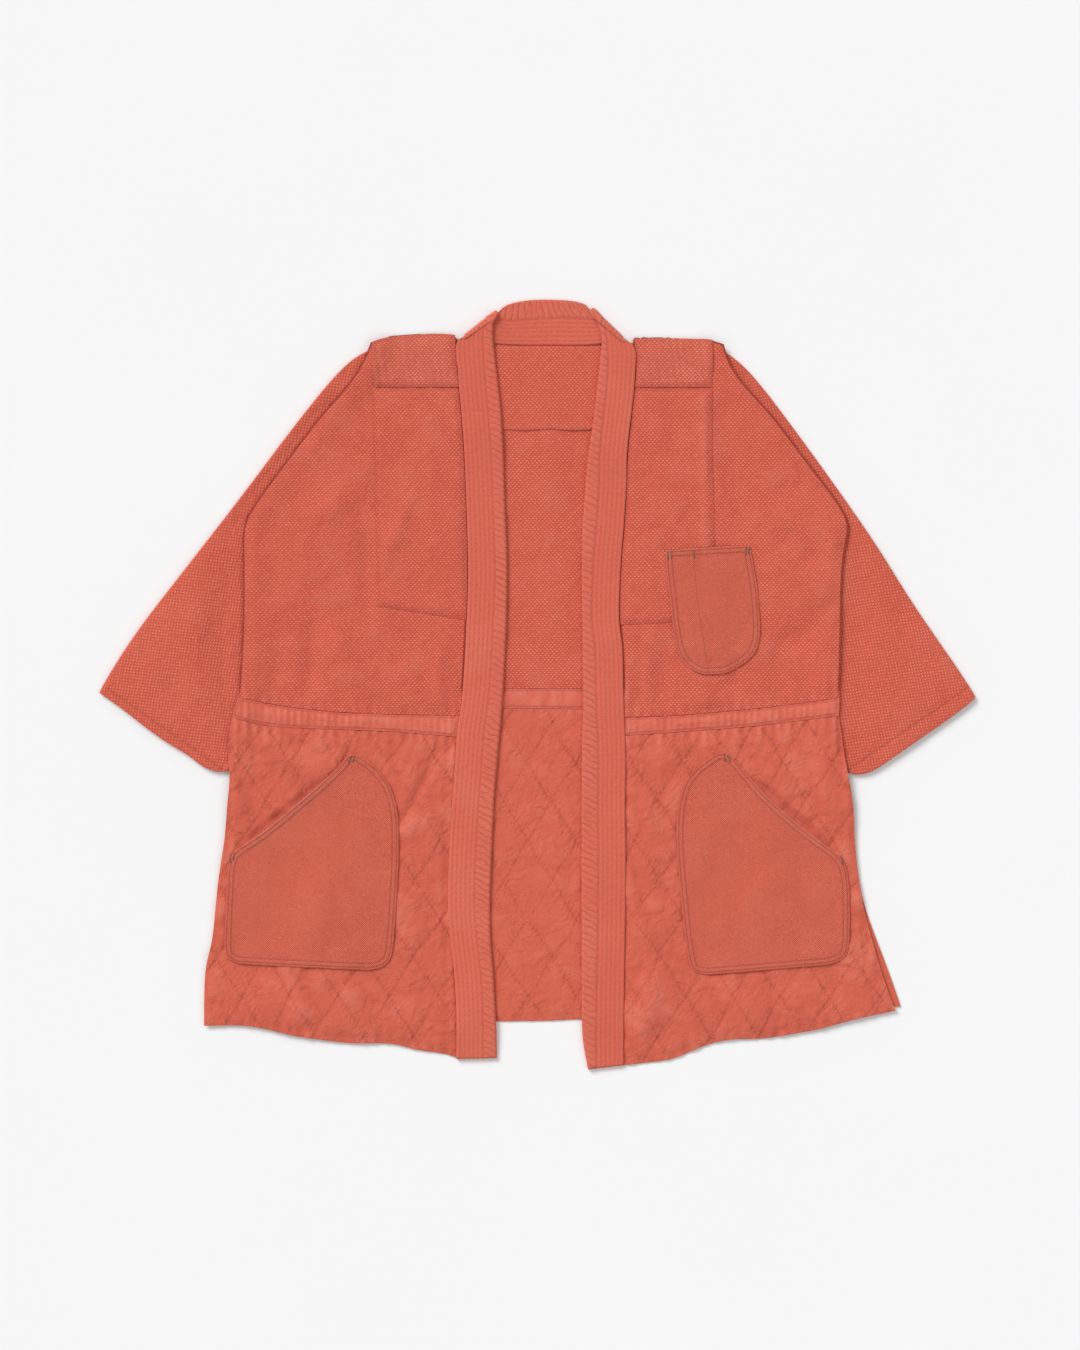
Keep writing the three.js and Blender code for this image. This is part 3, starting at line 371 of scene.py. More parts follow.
def pocketDetail(x, y, edge):
    hem = 0.28 * (1 - smoothStep(6.5, 8.5, edge)) * smoothStep(0, 1.2, edge)
    return (
        hem + 0.4 * crackle(x, y, 34, 81) + 0.2 * crackle(x, y, 13, 82)
        + puckers(x + y, edge, 10, 0.18, 9, 83)
    )


def hipPocketDetail(side):
    def detail(x, y, edge):
        shown, away = openingAt(side, x, y)
        lift = openings[side]["rise"] * (1 + 0.35 * softNoise(x, y, 40, 84)) * shown
        return pocketDetail(x, y, edge) + lift * bell(away, openings[side]["width"])
    return detail


def yokeDetail(x, y, edge):
    return 0.25 * bell(edge - 3, 2) + puckers(x, edge, 7, 0.25, 6, 91)


pieces = {}
trees = {}
outlines = {}


def surfaceTree(piece):
    mesh = piece.data
    corners = [v.co / mm for v in mesh.vertices]
    return BVHTree.FromPolygons(corners, [list(p.vertices) for p in mesh.polygons])


clearances = {"floor": 0.1, "sheets": 0.25, "sleeves": 0.15}
besideReach = 3.2
besideDrop = 0.5


# Presses a sheet down wherever a piece above would touch it, and a little beside the piece's edge.
def layUnder(points, above, clearance):
    for tree in above:
        for i, p in enumerate(points):
            hit = tree.ray_cast(Vector((p[0], p[1], -5)), Vector((0, 0, 1)), 60)[0]
            beside = hit is None
            if beside:
                hit = tree.find_nearest(Vector(p), besideReach)[0]
            if hit is not None and hit.z - clearance < p[2]:
                points[i][2] = max(hit.z - clearance, p[2] - besideDrop) if beside else hit.z - clearance
    return points


# The upper face of a panel's CAD node.
def topOf(node):
    shell = mergedCopy(node)
    sides = [f for f in shell.faces if f.normal.z < 0.3]
    bmesh.ops.delete(shell, geom=sides, context="FACES")
    return shell


def panelTree(node):
    mesh = meshFrom("panel", topOf(node))
    tree = edgeTree(outlineOf(mesh))
    bpy.data.meshes.remove(mesh)
    return tree


# Counts a finished cloth as the piece that shows a CAD node.
def keepPiece(piece, node):
    bpy.ops.object.shade_smooth()
    pieces[piece.name] = piece
    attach(piece, "root")
    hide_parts(node)
    print(piece.name, len(piece.data.polygons), "faces")


# Cuts a sheet from the top of its CAD node, lays its relief and gives it the cloth's thickness.
def layCloth(node, name, level, cloth, relief, detail, panel=None, above=()):
    shell = topOf(node)
    bmesh.ops.join_triangles(
        shell, faces=shell.faces, angle_face_threshold=math.pi, angle_shape_threshold=math.pi)
    piece = placeMesh(meshFrom(name, shell))
    applyModifier(piece, "SUBSURF", levels=level, render_levels=level, boundary_smooth="PRESERVE_CORNERS")
    points = pointsOf(piece.data)
    loop = outlineOf(piece.data)
    edge = inwardOf(edgeTree(loop), points[:, 0], points[:, 1])
    inward = edge if panel is None else inwardOf(panelTree(panel), points[:, 0], points[:, 1])
    own = detail(points[:, 0], points[:, 1], edge)
    points[:, 2] += relief(points[:, 0], points[:, 1], inward) + own
    points[:, 2] = np.maximum(points[:, 2], cloth + clearances["floor"])
    points = layUnder(points, [trees[a] for a in above], clearances["sheets"])
    writePoints(piece.data, points)
    # The relief also drives painted highlight on raised detail and painted shade in its hollows.
    keepNumber(piece.data, "relief", own)
    keepNumber(piece.data, "edge", edge)
    applyModifier(piece, "SOLIDIFY", thickness=cloth * mm, offset=-1)
    trees[name] = surfaceTree(piece)
    outlines[name] = loop
    keepPiece(piece, node)


# Each call names the node, the piece, its level of smoothing, its thickness, the relief it shares, its own
# detail and, for what is sewn on a panel, that panel.
layCloth("chest_pocket", "chestPocketCloth", 3, 1.0, frontRelief, pocketDetail, "left_front_bodice")

# The sides of the jacket, each with the pocket that is sewn on its bodice.
sides = {"right": [], "left": ["chestPocketCloth"]}
for side in sides:
    layCloth(
        f"{side}_hip_pocket", f"{side}HipPocketCloth", 3, 1.0, frontRelief, hipPocketDetail(side),
        f"{side}_front_skirt")
for side in sides:
    layCloth(
        f"{side}_shoulder_patch", f"{side}ShoulderCloth", 2, 0.8, frontRelief, shoulderDetail,
        f"{side}_front_bodice")
for side, pocket in sides.items():
    layCloth(
        f"{side}_chest_patch", f"{side}ChestCloth", 3, 0.8, frontRelief, patchDetail,
        f"{side}_front_bodice", above=pocket)
for side, pocket in sides.items():
    layCloth(
        f"{side}_front_bodice", f"{side}BodiceCloth", 3, 1.7, frontRelief, bodiceDetail,
        above=[f"{side}ShoulderCloth", f"{side}ChestCloth"] + pocket)
for side in sides:
    layCloth(f"{side}_front_waistband", f"{side}WaistCloth", 3, 1.5, frontRelief, bandDetail)
for side in sides:
    layCloth(
        f"{side}_front_skirt", f"{side}SkirtCloth", 3, 1.3, frontRelief, skirtDetail,
        above=[f"{side}HipPocketCloth"])
layCloth("back_yoke", "backYokeCloth", 2, 0.9, backRelief, yokeDetail, "back_bodice")
layCloth("back_bodice", "backBodiceCloth", 2, 1.6, backRelief, bodiceDetail, above=["backYokeCloth"])
layCloth("back_waistband", "backWaistCloth", 2, 1.4, backRelief, bandDetail)
layCloth("back_skirt", "backSkirtCloth", 3, 1.3, backRelief, backSkirtDetail)


def keepQuilting(piece, shift):
    points = pointsOf(piece.data)
    rising, falling = quiltLines(points[:, 0] + shift, points[:, 1])
    keepNumber(piece.data, "rising", rising)
    keepNumber(piece.data, "falling", falling)


keepQuilting(pieces["rightSkirtCloth"], 0)
keepQuilting(pieces["leftSkirtCloth"], 0)
keepQuilting(pieces["backSkirtCloth"], backQuiltShift)

# Folded ends of the cuffs, and how far in their hems are sewn.
cuffs = {
    "rightSleeveCloth": {"start": (-484, -12), "end": (-356, -102), "hem": 13},
    "leftSleeveCloth": {"start": (481, -20), "end": (357, -106), "hem": 18},
}


def cuffLine(name):
    cuff = cuffs[name]
    start = np.array(cuff["start"], dtype=float)
    along = np.array(cuff["end"], dtype=float) - start
    along /= np.linalg.norm(along)
    inward = np.array([-along[1], along[0]])
    return start, along, inward if inward[1] > 0 else -inward


# A sleeve keeps both of its walls; folds lift or press its upper side.
def laySleeve(node, name, above):
    shell = mergedCopy(node)
    bmesh.ops.join_triangles(
        shell, faces=shell.faces, angle_face_threshold=0.6, angle_shape_threshold=math.pi)
    piece = placeMesh(meshFrom(name, shell))
    applyModifier(piece, "SUBSURF", levels=3, render_levels=3)
    points = pointsOf(piece.data)
    x = points[:, 0]
    y = points[:, 1]
    upper = smoothStep(1.9, 4.0, points[:, 2])
    waves = 0.9 * softNoise(x, y, 56, 6) + 0.45 * softNoise(x, y, 26, 7) + 0.2 * crackle(x, y, 14, 8)
    start, along, inward = cuffLine(name)
    fromCuff = (x - start[0]) * inward[0] + (y - start[1]) * inward[1]
    alongCuff = (x - start[0]) * along[0] + (y - start[1]) * along[1]
    hem = fromCuff - cuffs[name]["hem"]
    waves += puckers(alongCuff, hem, 8.5, 0.55, 9, 9) - 0.7 * bell(hem, 1.8)
    lift = foldHeight(sleeveFolds, x, y) + waves
    deepest = -1.8
    points[:, 2] += upper * np.maximum(lift, deepest)
    points = layUnder(points, [trees[a] for a in above], clearances["sleeves"])
    points[:, 2] = np.maximum(points[:, 2], 0)
    writePoints(piece.data, points)
    # The relief also drives painted highlight on raised detail and painted shade in its hollows.
    keepNumber(piece.data, "relief", waves * 0.5)
    keepNumber(piece.data, "edge", fromCuff)
    trees[name] = surfaceTree(piece)
    keepPiece(piece, node)


for side in sides:
    laySleeve(
        f"{side}_sleeve", f"{side}SleeveCloth",
        [f"{side}BodiceCloth", f"{side}SkirtCloth", f"{side}WaistCloth"])


def middleOf(ring):
    return sum((v.co for v in ring), Vector()) / len(ring)


# How far two rings of corners differ in shape, once one is moved onto the other.
def ringDifference(first, second):
    moved = middleOf(second) - middleOf(first)
    return sum((b.co - a.co - moved).length for a, b in zip(first, second))


# The ring of corners next to one already found, in the same order round the band.
def ringAfter(ring, seen):
    fresh = {e.other_vert(v) for v in ring for e in v.link_edges} - seen
    across = (ring[4].co - ring[0].co).normalized()
    up = (ring[2].co - ring[7].co).normalized()
    orders = []
    for chosen in itertools.combinations(sorted(fresh, key=lambda v: tuple(v.co)), len(ring)):
        centre = middleOf(chosen)
        loop = sorted(
            chosen, key=lambda v: -math.atan2((v.co - centre).dot(up), (v.co - centre).dot(across)))
        orders.extend(loop[k:] + loop[:k] for k in range(len(loop)))
    return min(orders, key=lambda way: ringDifference(ring, way), default=[])


# The collar's CAD sections in order from the right front's lower end, ten points each.
def collarSections():
    shell = mergedCopy("collar")
    ring = [v for v in shell.verts if v.co.x < 0 and v.co.y < -0.405]
    centre = middleOf(ring)
    ring.sort(key=lambda v: -math.atan2(v.co.z - centre.z, v.co.x - centre.x))
    seen = set(ring)
    sections = []
    while ring:
        sections.append([list(v.co / mm) for v in ring])
        ring = ringAfter(ring, seen)
        seen.update(ring)
    shell.free()
    return np.array(sections)


# Reads rows of values smoothly between their known places.
def smoothRead(places, known, values):
    slopes = np.gradient(values, known, axis=0)
    i = np.clip(np.searchsorted(known, places) - 1, 0, len(known) - 2)
    run = (known[i + 1] - known[i])[:, None]
    t = (places - known[i])[:, None] / run
    rise = 3 * t ** 2 - 2 * t ** 3
    return (
        values[i] * (1 - rise) + values[i + 1] * rise
        + run * (slopes[i] * (t ** 3 - 2 * t ** 2 + t) + slopes[i + 1] * (t ** 3 - t ** 2))
    )


collarBand = {
    "step": 2.8,
    "columns": 33,
    "fromSeam": 1,
    "margins": 2.8,
    "rows": (4.5, 9.5, 14.5, 19.5, 24.5),
    "groove": 0.24,
    "stripFrom": 29.5,
    "crossSeamAt": 713,
    "stepAt": 477,
    "stitchPitch": 5.2,
    "puckerPitch": 7.4,
}


# Height of the band's quilting, with across measured from the seam and along from its right end.
def collarHeight(across, along, seed):
    total = 0.35 * softNoise(along, across, 34, seed)
    for i, row in enumerate(collarBand["rows"]):
        strength = 0.8 + 0.35 * softNoise(along, across, 19, seed + 1 + i)
        total -= collarBand["groove"] * strength * bell(across - row, 1.0)
    strip = smoothStep(collarBand["stripFrom"], collarBand["stripFrom"] + 1.5, across)
    wander = 1.8 * softNoise(along, across, 16, seed + 8)
    ridges = np.sin(2 * math.pi * (along / collarBand["puckerPitch"] + across / 14) + wander)
    total += strip * (0.35 + 0.5 * ridges * (0.75 + 0.4 * softNoise(along, across, 22, seed + 9)))
    total -= 0.6 * bell(across - collarBand["stripFrom"], 1.2)
    crossing = bell(along - collarBand["crossSeamAt"], 1.4) * (across < 26)
    total += 0.3 * smoothStep(collarBand["stepAt"] + 1, collarBand["stepAt"] - 1, along) * (1 - strip)
    return total - 0.5 * crossing


def layCollar():
    sections = collarSections()
    print("collar sections", len(sections))
    middle = (sections[:, 2] + sections[:, 7]) / 2
    known = np.concatenate([[0], np.cumsum(np.linalg.norm(np.diff(middle, axis=0), axis=1))])
    count = int(known[-1] / collarBand["step"])
    places = np.linspace(0, known[-1], count)
    fine = smoothRead(places, known, sections.reshape(len(sections), -1)).reshape(count, 10, 3)
    normal = fine[:, 2] - fine[:, 7]
    normal /= np.linalg.norm(normal, axis=1)[:, None]
    width = np.linalg.norm(fine[:, 4] - fine[:, 0], axis=1)
    shares = np.linspace(0, 1, collarBand["columns"])
    seamward = fine[:, 0] - fine[:, 4]
    reach = 0.2 + 1.3 * smoothStep(343, 362, fine[:, 0, 1]) * (fine[:, 0, 2] > 6)
    seamward *= (reach / np.linalg.norm(seamward, axis=1))[:, None]
    fine[:, [0, 1, 8, 9]] += seamward[:, None, :]
    rings = [fine[:, 0]]
    across = [np.zeros(count)]
    heights = [np.zeros(count)]
    for start, end, facing, order in ((1, 3, 1, shares), (8, 6, -1, shares[::-1])):
        for share in order:
            place = collarBand["fromSeam"] + share * (width - collarBand["margins"])
            height = collarHeight(place, places, 100 if facing > 0 else 120)
            base = fine[:, start] * (1 - share) + fine[:, end] * share
            rings.append(base + normal * (facing * height)[:, None])
            across.append(place)
            heights.append(height)
        for corner in ((4, 5) if facing > 0 else (9,)):
            rings.append(fine[:, corner])
            across.append(width if facing > 0 else np.zeros(count))
            heights.append(np.zeros(count))
    rings = np.array(rings).transpose(1, 0, 2)
    around = rings.shape[1]
    faces = []
    for i in range(count - 1):
        for k in range(around):
            after = (k + 1) % around
            low = i * around
            high = low + around
            faces.append((low + k, low + after, high + after, high + k))
    faces.append(tuple(range(around))[::-1])
    faces.append(tuple(range((count - 1) * around, count * around)))
    mesh = bpy.data.meshes.new("collarBandCloth")
    points = rings.reshape(-1, 3)
    points[:, 2] = np.maximum(points[:, 2], 0)
    mesh.from_pydata((points * mm).tolist(), [], faces)
    shell = bmesh.new()
    shell.from_mesh(mesh)
    bmesh.ops.recalc_face_normals(shell, faces=shell.faces)
    shell.to_mesh(mesh)
    shell.free()
    acrossAll = np.array(across).T.ravel()
    # The relief also drives painted highlight on raised detail and painted shade in its hollows.
    keepNumber(mesh, "relief", np.array(heights).T.ravel())
    keepNumber(mesh, "edge", acrossAll)
    corners = np.zeros(len(mesh.loops), dtype=int)
    mesh.loops.foreach_get("vertex_index", corners)
    band = mesh.uv_layers.new(name="band")
    alongAll = np.repeat(places, around)
    band.data.foreach_set("uv", np.column_stack([alongAll[corners], acrossAll[corners]]).ravel() * mm)
    piece = placeMesh(mesh)
    keepPiece(piece, "collar")
    return piece, rings, normal, places


collar, collarRings, collarNormal, collarPlaces = layCollar()
print("cloth laid")


# Sizes the mesh just added, lying along X, and takes it as a template for copies, in millimetres.
def takeTemplate(size):
    bpy.ops.object.transform_apply(location=False, rotation=True, scale=False)
    bpy.ops.object.mode_set(mode="EDIT")
    bpy.ops.mesh.select_all(action="SELECT")
    bpy.ops.transform.resize(value=size)
    bpy.ops.object.mode_set(mode="OBJECT")
    piece = bpy.context.view_layer.objects.active
    points = np.array([list(v.co) for v in piece.data.vertices])
    faces = [list(p.vertices) for p in piece.data.polygons]
    bpy.data.objects.remove(piece)
    return points, faces


# One stitch of thread, about 3.4 mm long, for every row.
def modelStitch():
    bpy.ops.object.select_all(action="DESELECT")
    bpy.ops.mesh.primitive_uv_sphere_add(segments=6, ring_count=4, radius=0.5, rotation=(0, math.pi / 2, 0))
    return takeTemplate((3.4, 0.62, 0.56))


# One bar tack: a dense bar of thread.
def modelBarTack():
    bpy.ops.object.select_all(action="DESELECT")
    bpy.ops.mesh.primitive_cylinder_add(
        vertices=8, radius=0.62, depth=8.4, end_fill_type="TRIFAN", rotation=(0, math.pi / 2, 0))
    return takeTemplate((1, 1, 0.5))


stitch = modelStitch()
barTack = modelBarTack()
lifts = {"stitches": 0.1, "collar": 0.12, "tacks": 0.25}


# Joined copies of a template, one in each frame of place, along, normal.
def joinCopies(name, template, frames):
    points, faces = template
    allPoints = []
    allFaces = []
    for place, along, normal in frames:
        start = len(allPoints) * len(points)
        turned = np.outer(points[:, 0], along) + np.outer(points[:, 1], np.cross(normal, along))
        allPoints.append(turned + np.outer(points[:, 2], normal) + place)
        allFaces.extend([[start + v for v in face] for face in faces])
    mesh = bpy.data.meshes.new(name)
    mesh.from_pydata((np.concatenate(allPoints) * mm).tolist(), [], allFaces)
    piece = placeMesh(mesh)
    bpy.ops.object.shade_smooth()
    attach(piece, "root")
    print(name, len(frames), "copies")
    return piece


# Places every pitch along a line of points.
def spaced(line, pitch):
    steps = np.linalg.norm(np.diff(line, axis=0), axis=1)
    run = np.concatenate([[0], np.cumsum(steps)])
    if run[-1] < pitch:
        return []
    at = np.arange(pitch / 2, run[-1], pitch)
    x = np.interp(at, run, line[:, 0])
    y = np.interp(at, run, line[:, 1])
    ahead = np.interp(at + 0.5, run, line[:, 0]) - np.interp(at - 0.5, run, line[:, 0])
    aside = np.interp(at + 0.5, run, line[:, 1]) - np.interp(at - 0.5, run, line[:, 1])
    return list(zip(x, y, np.arctan2(aside, ahead)))


# A row of stitches inside an outline at one distance, wherever keep allows it.
def rowInside(loop, inset, pitch, keep=lambda x, y: True):
    after = np.roll(loop, -1, axis=0)[:, :2]
    before = np.roll(loop, 1, axis=0)[:, :2]
    run = after - before
    run /= np.maximum(np.linalg.norm(run, axis=1), 1e-9)[:, None]
    moved = loop[:, :2] + inset * np.column_stack([-run[:, 1], run[:, 0]])
    tree = edgeTree(loop)
    runs = [[]]
    for x, y in moved:
        if tree.find((x, y, 0))[2] > inset * 0.93 and keep(x, y):
            runs[-1].append((x, y))
        elif runs[-1]:
            runs.append([])
    if runs[-1] and len(runs) > 1:
        runs[0] = runs[-1] + runs[0]
        runs.pop()
    return [place for line in runs if len(line) > 2 for place in spaced(np.array(line), pitch)]


# Frames for places on a sheet, a little above its surface.
def onSheet(tree, places, lift):
    frames = []
    for x, y, turn in places:
        hit, normal, _, _ = tree.ray_cast(Vector((x, y, 60)), Vector((0, 0, -1)), 80)
        if hit is None:
            continue
        along = Vector((math.cos(turn), math.sin(turn), 0))
        along = (along - normal * along.dot(normal)).normalized()
        frames.append((np.array(hit + normal * lift), np.array(along), np.array(normal)))
    return frames


# The rows of one thread piece, kept under its cloth's name or under its own.
def sew(cloth, rows, key=None):
    places = [place for row in rows for place in row]
    name = (key or cloth.replace("Cloth", "")) + "Stitches"
    stitching[key or cloth] = joinCopies(name, stitch, onSheet(trees[cloth], places, lifts["stitches"]))


stitching = {}
hemPitch = 4.4
bandPitch = 4.2
pocketRows = {"outer": 2.4, "inner": 7.0, "pitch": 3.6}
for cloth in ("chestPocketCloth", "rightHipPocketCloth", "leftHipPocketCloth"):
    sew(cloth, [rowInside(outlines[cloth], pocketRows[r], pocketRows["pitch"]) for r in ("outer", "inner")])
penLine = np.array([(171.6, 148), (176.0, 93), (180.4, 63), (188.1, 14)])
sew("chestPocketCloth", [spaced(penLine, 3.4)], "penDivider")

for cloth in ("rightShoulderCloth", "leftShoulderCloth", "rightChestCloth", "leftChestCloth"):
    sew(cloth, [rowInside(outlines[cloth], 2.0, hemPitch)])
for cloth in ("rightWaistCloth", "leftWaistCloth", "backWaistCloth"):
    sew(cloth, [rowInside(outlines[cloth], 2.2, bandPitch)])
for cloth in ("rightSkirtCloth", "leftSkirtCloth"):
    low = rowInside(outlines[cloth], 9, hemPitch, lambda x, y: y < -345)
    side = rowInside(outlines[cloth], 3, hemPitch, lambda x, y: abs(x) > 300 and y < -120)
    sew(cloth, [low, side])
sew("backSkirtCloth", [
    rowInside(outlines["backSkirtCloth"], 16, hemPitch, lambda x, y: y < -330 and -60 < x < 60)])
sew("backYokeCloth", [rowInside(outlines["backYokeCloth"], 2.2, bandPitch, lambda x, y: y < 300)])

for cloth, cuff in cuffs.items():
    start, along, inward = cuffLine(cloth)
    run = math.dist(cuff["start"], cuff["end"])
    ends = [start + inward * cuff["hem"] + along * reach for reach in (9, run - 3)]
    sew(cloth, [spaced(np.array(ends), hemPitch)])


# Stitches down in the collar's grooves on both of its faces.
def sewCollar():
    frames = []
    columns = collarBand["columns"]
    spacing = collarBand["stitchPitch"]
    width = np.linalg.norm(collarRings[:, columns + 1] - collarRings[:, 0], axis=1)
    for facing in (1, -1):
        for row in list(collarBand["rows"]) + [collarBand["stripFrom"]]:
            share = (row - collarBand["fromSeam"]) / (width - collarBand["margins"]) * (columns - 1)
            column = 1 + share if facing > 0 else 2 * columns + 2 - share
            below = np.floor(column).astype(int)
            part = (column - below)[:, None]
            rows = np.arange(len(collarRings))
            line = collarRings[rows, below] * (1 - part) + collarRings[rows, below + 1] * part
            at = np.arange(spacing / 2, collarPlaces[-1] - spacing, spacing)
            for s in at:
                i = min(int(s / collarPlaces[1]), len(line) - 2)
                run = line[i + 1] - line[i]
                length = np.linalg.norm(run)
                shown = facing * collarNormal[i][2] > -0.2
                if length < 1e-6 or not shown:
                    continue
                normal = collarNormal[i] * facing
                along = run / length
                normal = normal - along * normal.dot(along)
                normal /= np.linalg.norm(normal)
                frames.append((line[i] + normal * lifts["collar"], along, normal))
    return joinCopies("collarStitches", stitch, frames)


stitching["collarBandCloth"] = sewCollar()

# Where each bar tack stands, and how far it is turned.
tackPlaces = {
    "chestPocketCloth": [
        (143.8, 142.0, 1.6), (147.8, 142.2, 1.57), (172.4, 143.0, 1.6),
        (229.6, 146.4, 1.5), (233.0, 146.6, 1.45)],
    "rightHipPocketCloth": [
        (-205.5, -82.5, 1.1), (-201.0, -81.5, 1.3), (-336.4, -191.5, 1.5), (-332.8, -189.0, 1.5)],
    "leftHipPocketCloth": [
        (206.0, -80.5, 1.7), (211.0, -82.0, 2.0), (338.4, -195.5, 1.7), (334.8, -193.2, 1.7)],
}
tacks = {}
for cloth, places in tackPlaces.items():
    frames = onSheet(trees[cloth], places, lifts["tacks"])
    tacks[cloth] = joinCopies(cloth.replace("Cloth", "Tacks"), barTack, frames)
print("stitches sewn")


# Colours as read in sRGB, turned to the linear values that materials take.
def colour(red, green, blue):
    def linear(value):
        share = value / 255
        return share / 12.92 if share <= 0.04045 else ((share + 0.055) / 1.055) ** 2.4
    return (linear(red), linear(green), linear(blue), 1)


# Painted shade: a dark colour mixed into seams, furrows, slits and hollows.
paintedShadeColour = colour(140, 42, 30)


# A number inside a node tree; arithmetic on it adds the math nodes that work it out.
class Number:
    def __init__(self, tree, socket):
        self.tree = tree
        self.socket = socket

    def __add__(self, other):
        return calculate(self.tree, "ADD", self, other)

    def __sub__(self, other):
        return calculate(self.tree, "SUBTRACT", self, other)

    def __rsub__(self, other):
        return calculate(self.tree, "SUBTRACT", other, self)

    def __mul__(self, other):
        return calculate(self.tree, "MULTIPLY", self, other)

    def __truediv__(self, other):
        return calculate(self.tree, "DIVIDE", self, other)

    def __pow__(self, other):
        return calculate(self.tree, "POWER", self, other)

    def __abs__(self):
        return calculate(self.tree, "ABSOLUTE", self)

    def atLeast(self, low):
        return calculate(self.tree, "MAXIMUM", self, low)

    def atMost(self, high):
        return calculate(self.tree, "MINIMUM", self, high)


def joinSocket(tree, value, socket):
    if isinstance(value, Number):
        tree.links.new(value.socket, socket)
    elif isinstance(value, bpy.types.NodeSocket):
        tree.links.new(value, socket)
    else:
        socket.default_value = value


def calculate(tree, operation, *values):
    node = tree.nodes.new("ShaderNodeMath")
    node.operation = operation
    for socket, value in zip(node.inputs, values):
        joinSocket(tree, value, socket)
    return Number(tree, node.outputs[0])


# One at no distance and smaller by the same share for each millimetre of it.
def fading(tree, distance, rate):
    return calculate(tree, "POWER", 2.718, distance * -rate)


def noiseAt(tree, vector, scale, detail=2.0, roughness=0.5):
    node = tree.nodes.new("ShaderNodeTexNoise")
    node.inputs["Scale"].default_value = scale
    node.inputs["Detail"].default_value = detail
    node.inputs["Roughness"].default_value = roughness
    tree.links.new(vector, node.inputs["Vector"])
    return Number(tree, node.outputs["Fac"])


def mixColour(tree, share, first, second):
    node = tree.nodes.new("ShaderNodeMix")
    node.data_type = "RGBA"
    joinSocket(tree, share, node.inputs["Factor"])
    joinSocket(tree, first, node.inputs[6])
    joinSocket(tree, second, node.inputs[7])
    return node.outputs[2]


# X and Y of a vector, after a turn about Z where one is given.
def partsOf(tree, vector, turn=None):
    if turn is not None:
        turned = tree.nodes.new("ShaderNodeVectorRotate")
        turned.rotation_type = "Z_AXIS"
        tree.links.new(vector, turned.inputs["Vector"])
        joinSocket(tree, turn, turned.inputs["Angle"])
        vector = turned.outputs["Vector"]
    parts = tree.nodes.new("ShaderNodeSeparateXYZ")
    tree.links.new(vector, parts.inputs["Vector"])
    return Number(tree, parts.outputs["X"]), Number(tree, parts.outputs["Y"])


number = "NodeSocketFloat"
vectorKind = "NodeSocketVector"
colourKind = "NodeSocketColor"


# New node group with its inputs in order, its tree and the node that takes its one result.
def newGroup(name, inputs, result, kind=number):
    tree = bpy.data.node_groups.new(name, "ShaderNodeTree")
    for label, inputKind in inputs.items():
        tree.interface.new_socket(label, in_out="INPUT", socket_type=inputKind)
    tree.interface.new_socket(result, in_out="OUTPUT", socket_type=kind)
    start = tree.nodes.new("NodeGroupInput")
    end = tree.nodes.new("NodeGroupOutput")
    given = [
        Number(tree, start.outputs[label]) if inputKind == number else start.outputs[label]
        for label, inputKind in inputs.items()]
    return tree, given, end.inputs[result]


# Rice-grain weave: short raised floats in rows, each row half a pitch on from the last.
def riceGrainGroup():
    tree, (vector, turn, acrossPitch, downPitch), result = newGroup(
        "riceGrain", {"Vector": vectorKind, "Turn": number, "Across": number, "Down": number}, "Height")
    sway = (noiseAt(tree, vector, 95) - 0.5) * 0.0022
    x, y = partsOf(tree, vector, turn)
    down = (y + sway) / downPitch
    row = calculate(tree, "FLOOR", down)
    shift = calculate(tree, "FLOORED_MODULO", row, 2.0) * 0.5
    across = (x + sway) / acrossPitch + shift
    u = calculate(tree, "FRACT", across) - 0.5
    v = down - row - 0.5
    dome = 1.0 - ((abs(u) / 0.40) ** 2.0 + (abs(v) / 0.52) ** 2.0)
    grain = tree.nodes.new("ShaderNodeCombineXYZ")
    joinSocket(tree, calculate(tree, "FLOOR", across), grain.inputs["X"])
    joinSocket(tree, row, grain.inputs["Y"])
    chance = tree.nodes.new("ShaderNodeTexWhiteNoise")
    tree.links.new(grain.outputs["Vector"], chance.inputs["Vector"])
    uneven = Number(tree, chance.outputs["Value"]) * 0.85 + 0.45
    joinSocket(tree, dome.atLeast(0.0) * uneven, result)
    return tree


# Close plain weave: warp and weft threads crossing over and under.
def plainWeaveGroup():
    tree, (vector, turn, pitch), result = newGroup(
        "plainWeave", {"Vector": vectorKind, "Turn": number, "Pitch": number}, "Height")
    x, y = partsOf(tree, vector, turn)
    around = 2 * math.pi
    crossing = calculate(tree, "SINE", x / pitch * around) * calculate(tree, "SINE", y / pitch * around)
    joinSocket(tree, crossing * 0.35 + noiseAt(tree, vector, 700), result)
    return tree


# Paler on raised puckers (wear fade and painted highlight), darker in seams and hollows (painted shade), a
# little cloudy all over.
def fadeAndShadeGroup():
    tree, (vector, base, relief, reliefShare), result = newGroup(
        "fadeAndShade", {"Vector": vectorKind, "Color": colourKind, "Relief": number, "Fade": number},
        "Color", colourKind)
    pale = (relief.atLeast(0.0) * 0.22 * reliefShare).atMost(0.5)
    deep = ((relief * -1.0).atLeast(0.0) * 0.26 * reliefShare).atMost(0.5)
    lighter = mixColour(tree, pale, base, colour(240, 160, 138))
    darker = mixColour(tree, deep, lighter, paintedShadeColour)
    cloud = abs(noiseAt(tree, vector, 14, 4.0, 0.6) - 0.5) * 0.22
    tree.links.new(mixColour(tree, cloud, darker, colour(232, 138, 112)), result)
    return tree


# Furrow that a row of stitches presses at one distance from the edge.
def seamFurrowGroup():
    tree, (edge, inset, width), result = newGroup(
        "seamFurrow", {"Edge": number, "Inset": number, "Width": number}, "Depth")
    away = (edge - inset) / width
    joinSocket(tree, (1.0 - abs(away) ** 2.0).atLeast(0.0), result)
    return tree


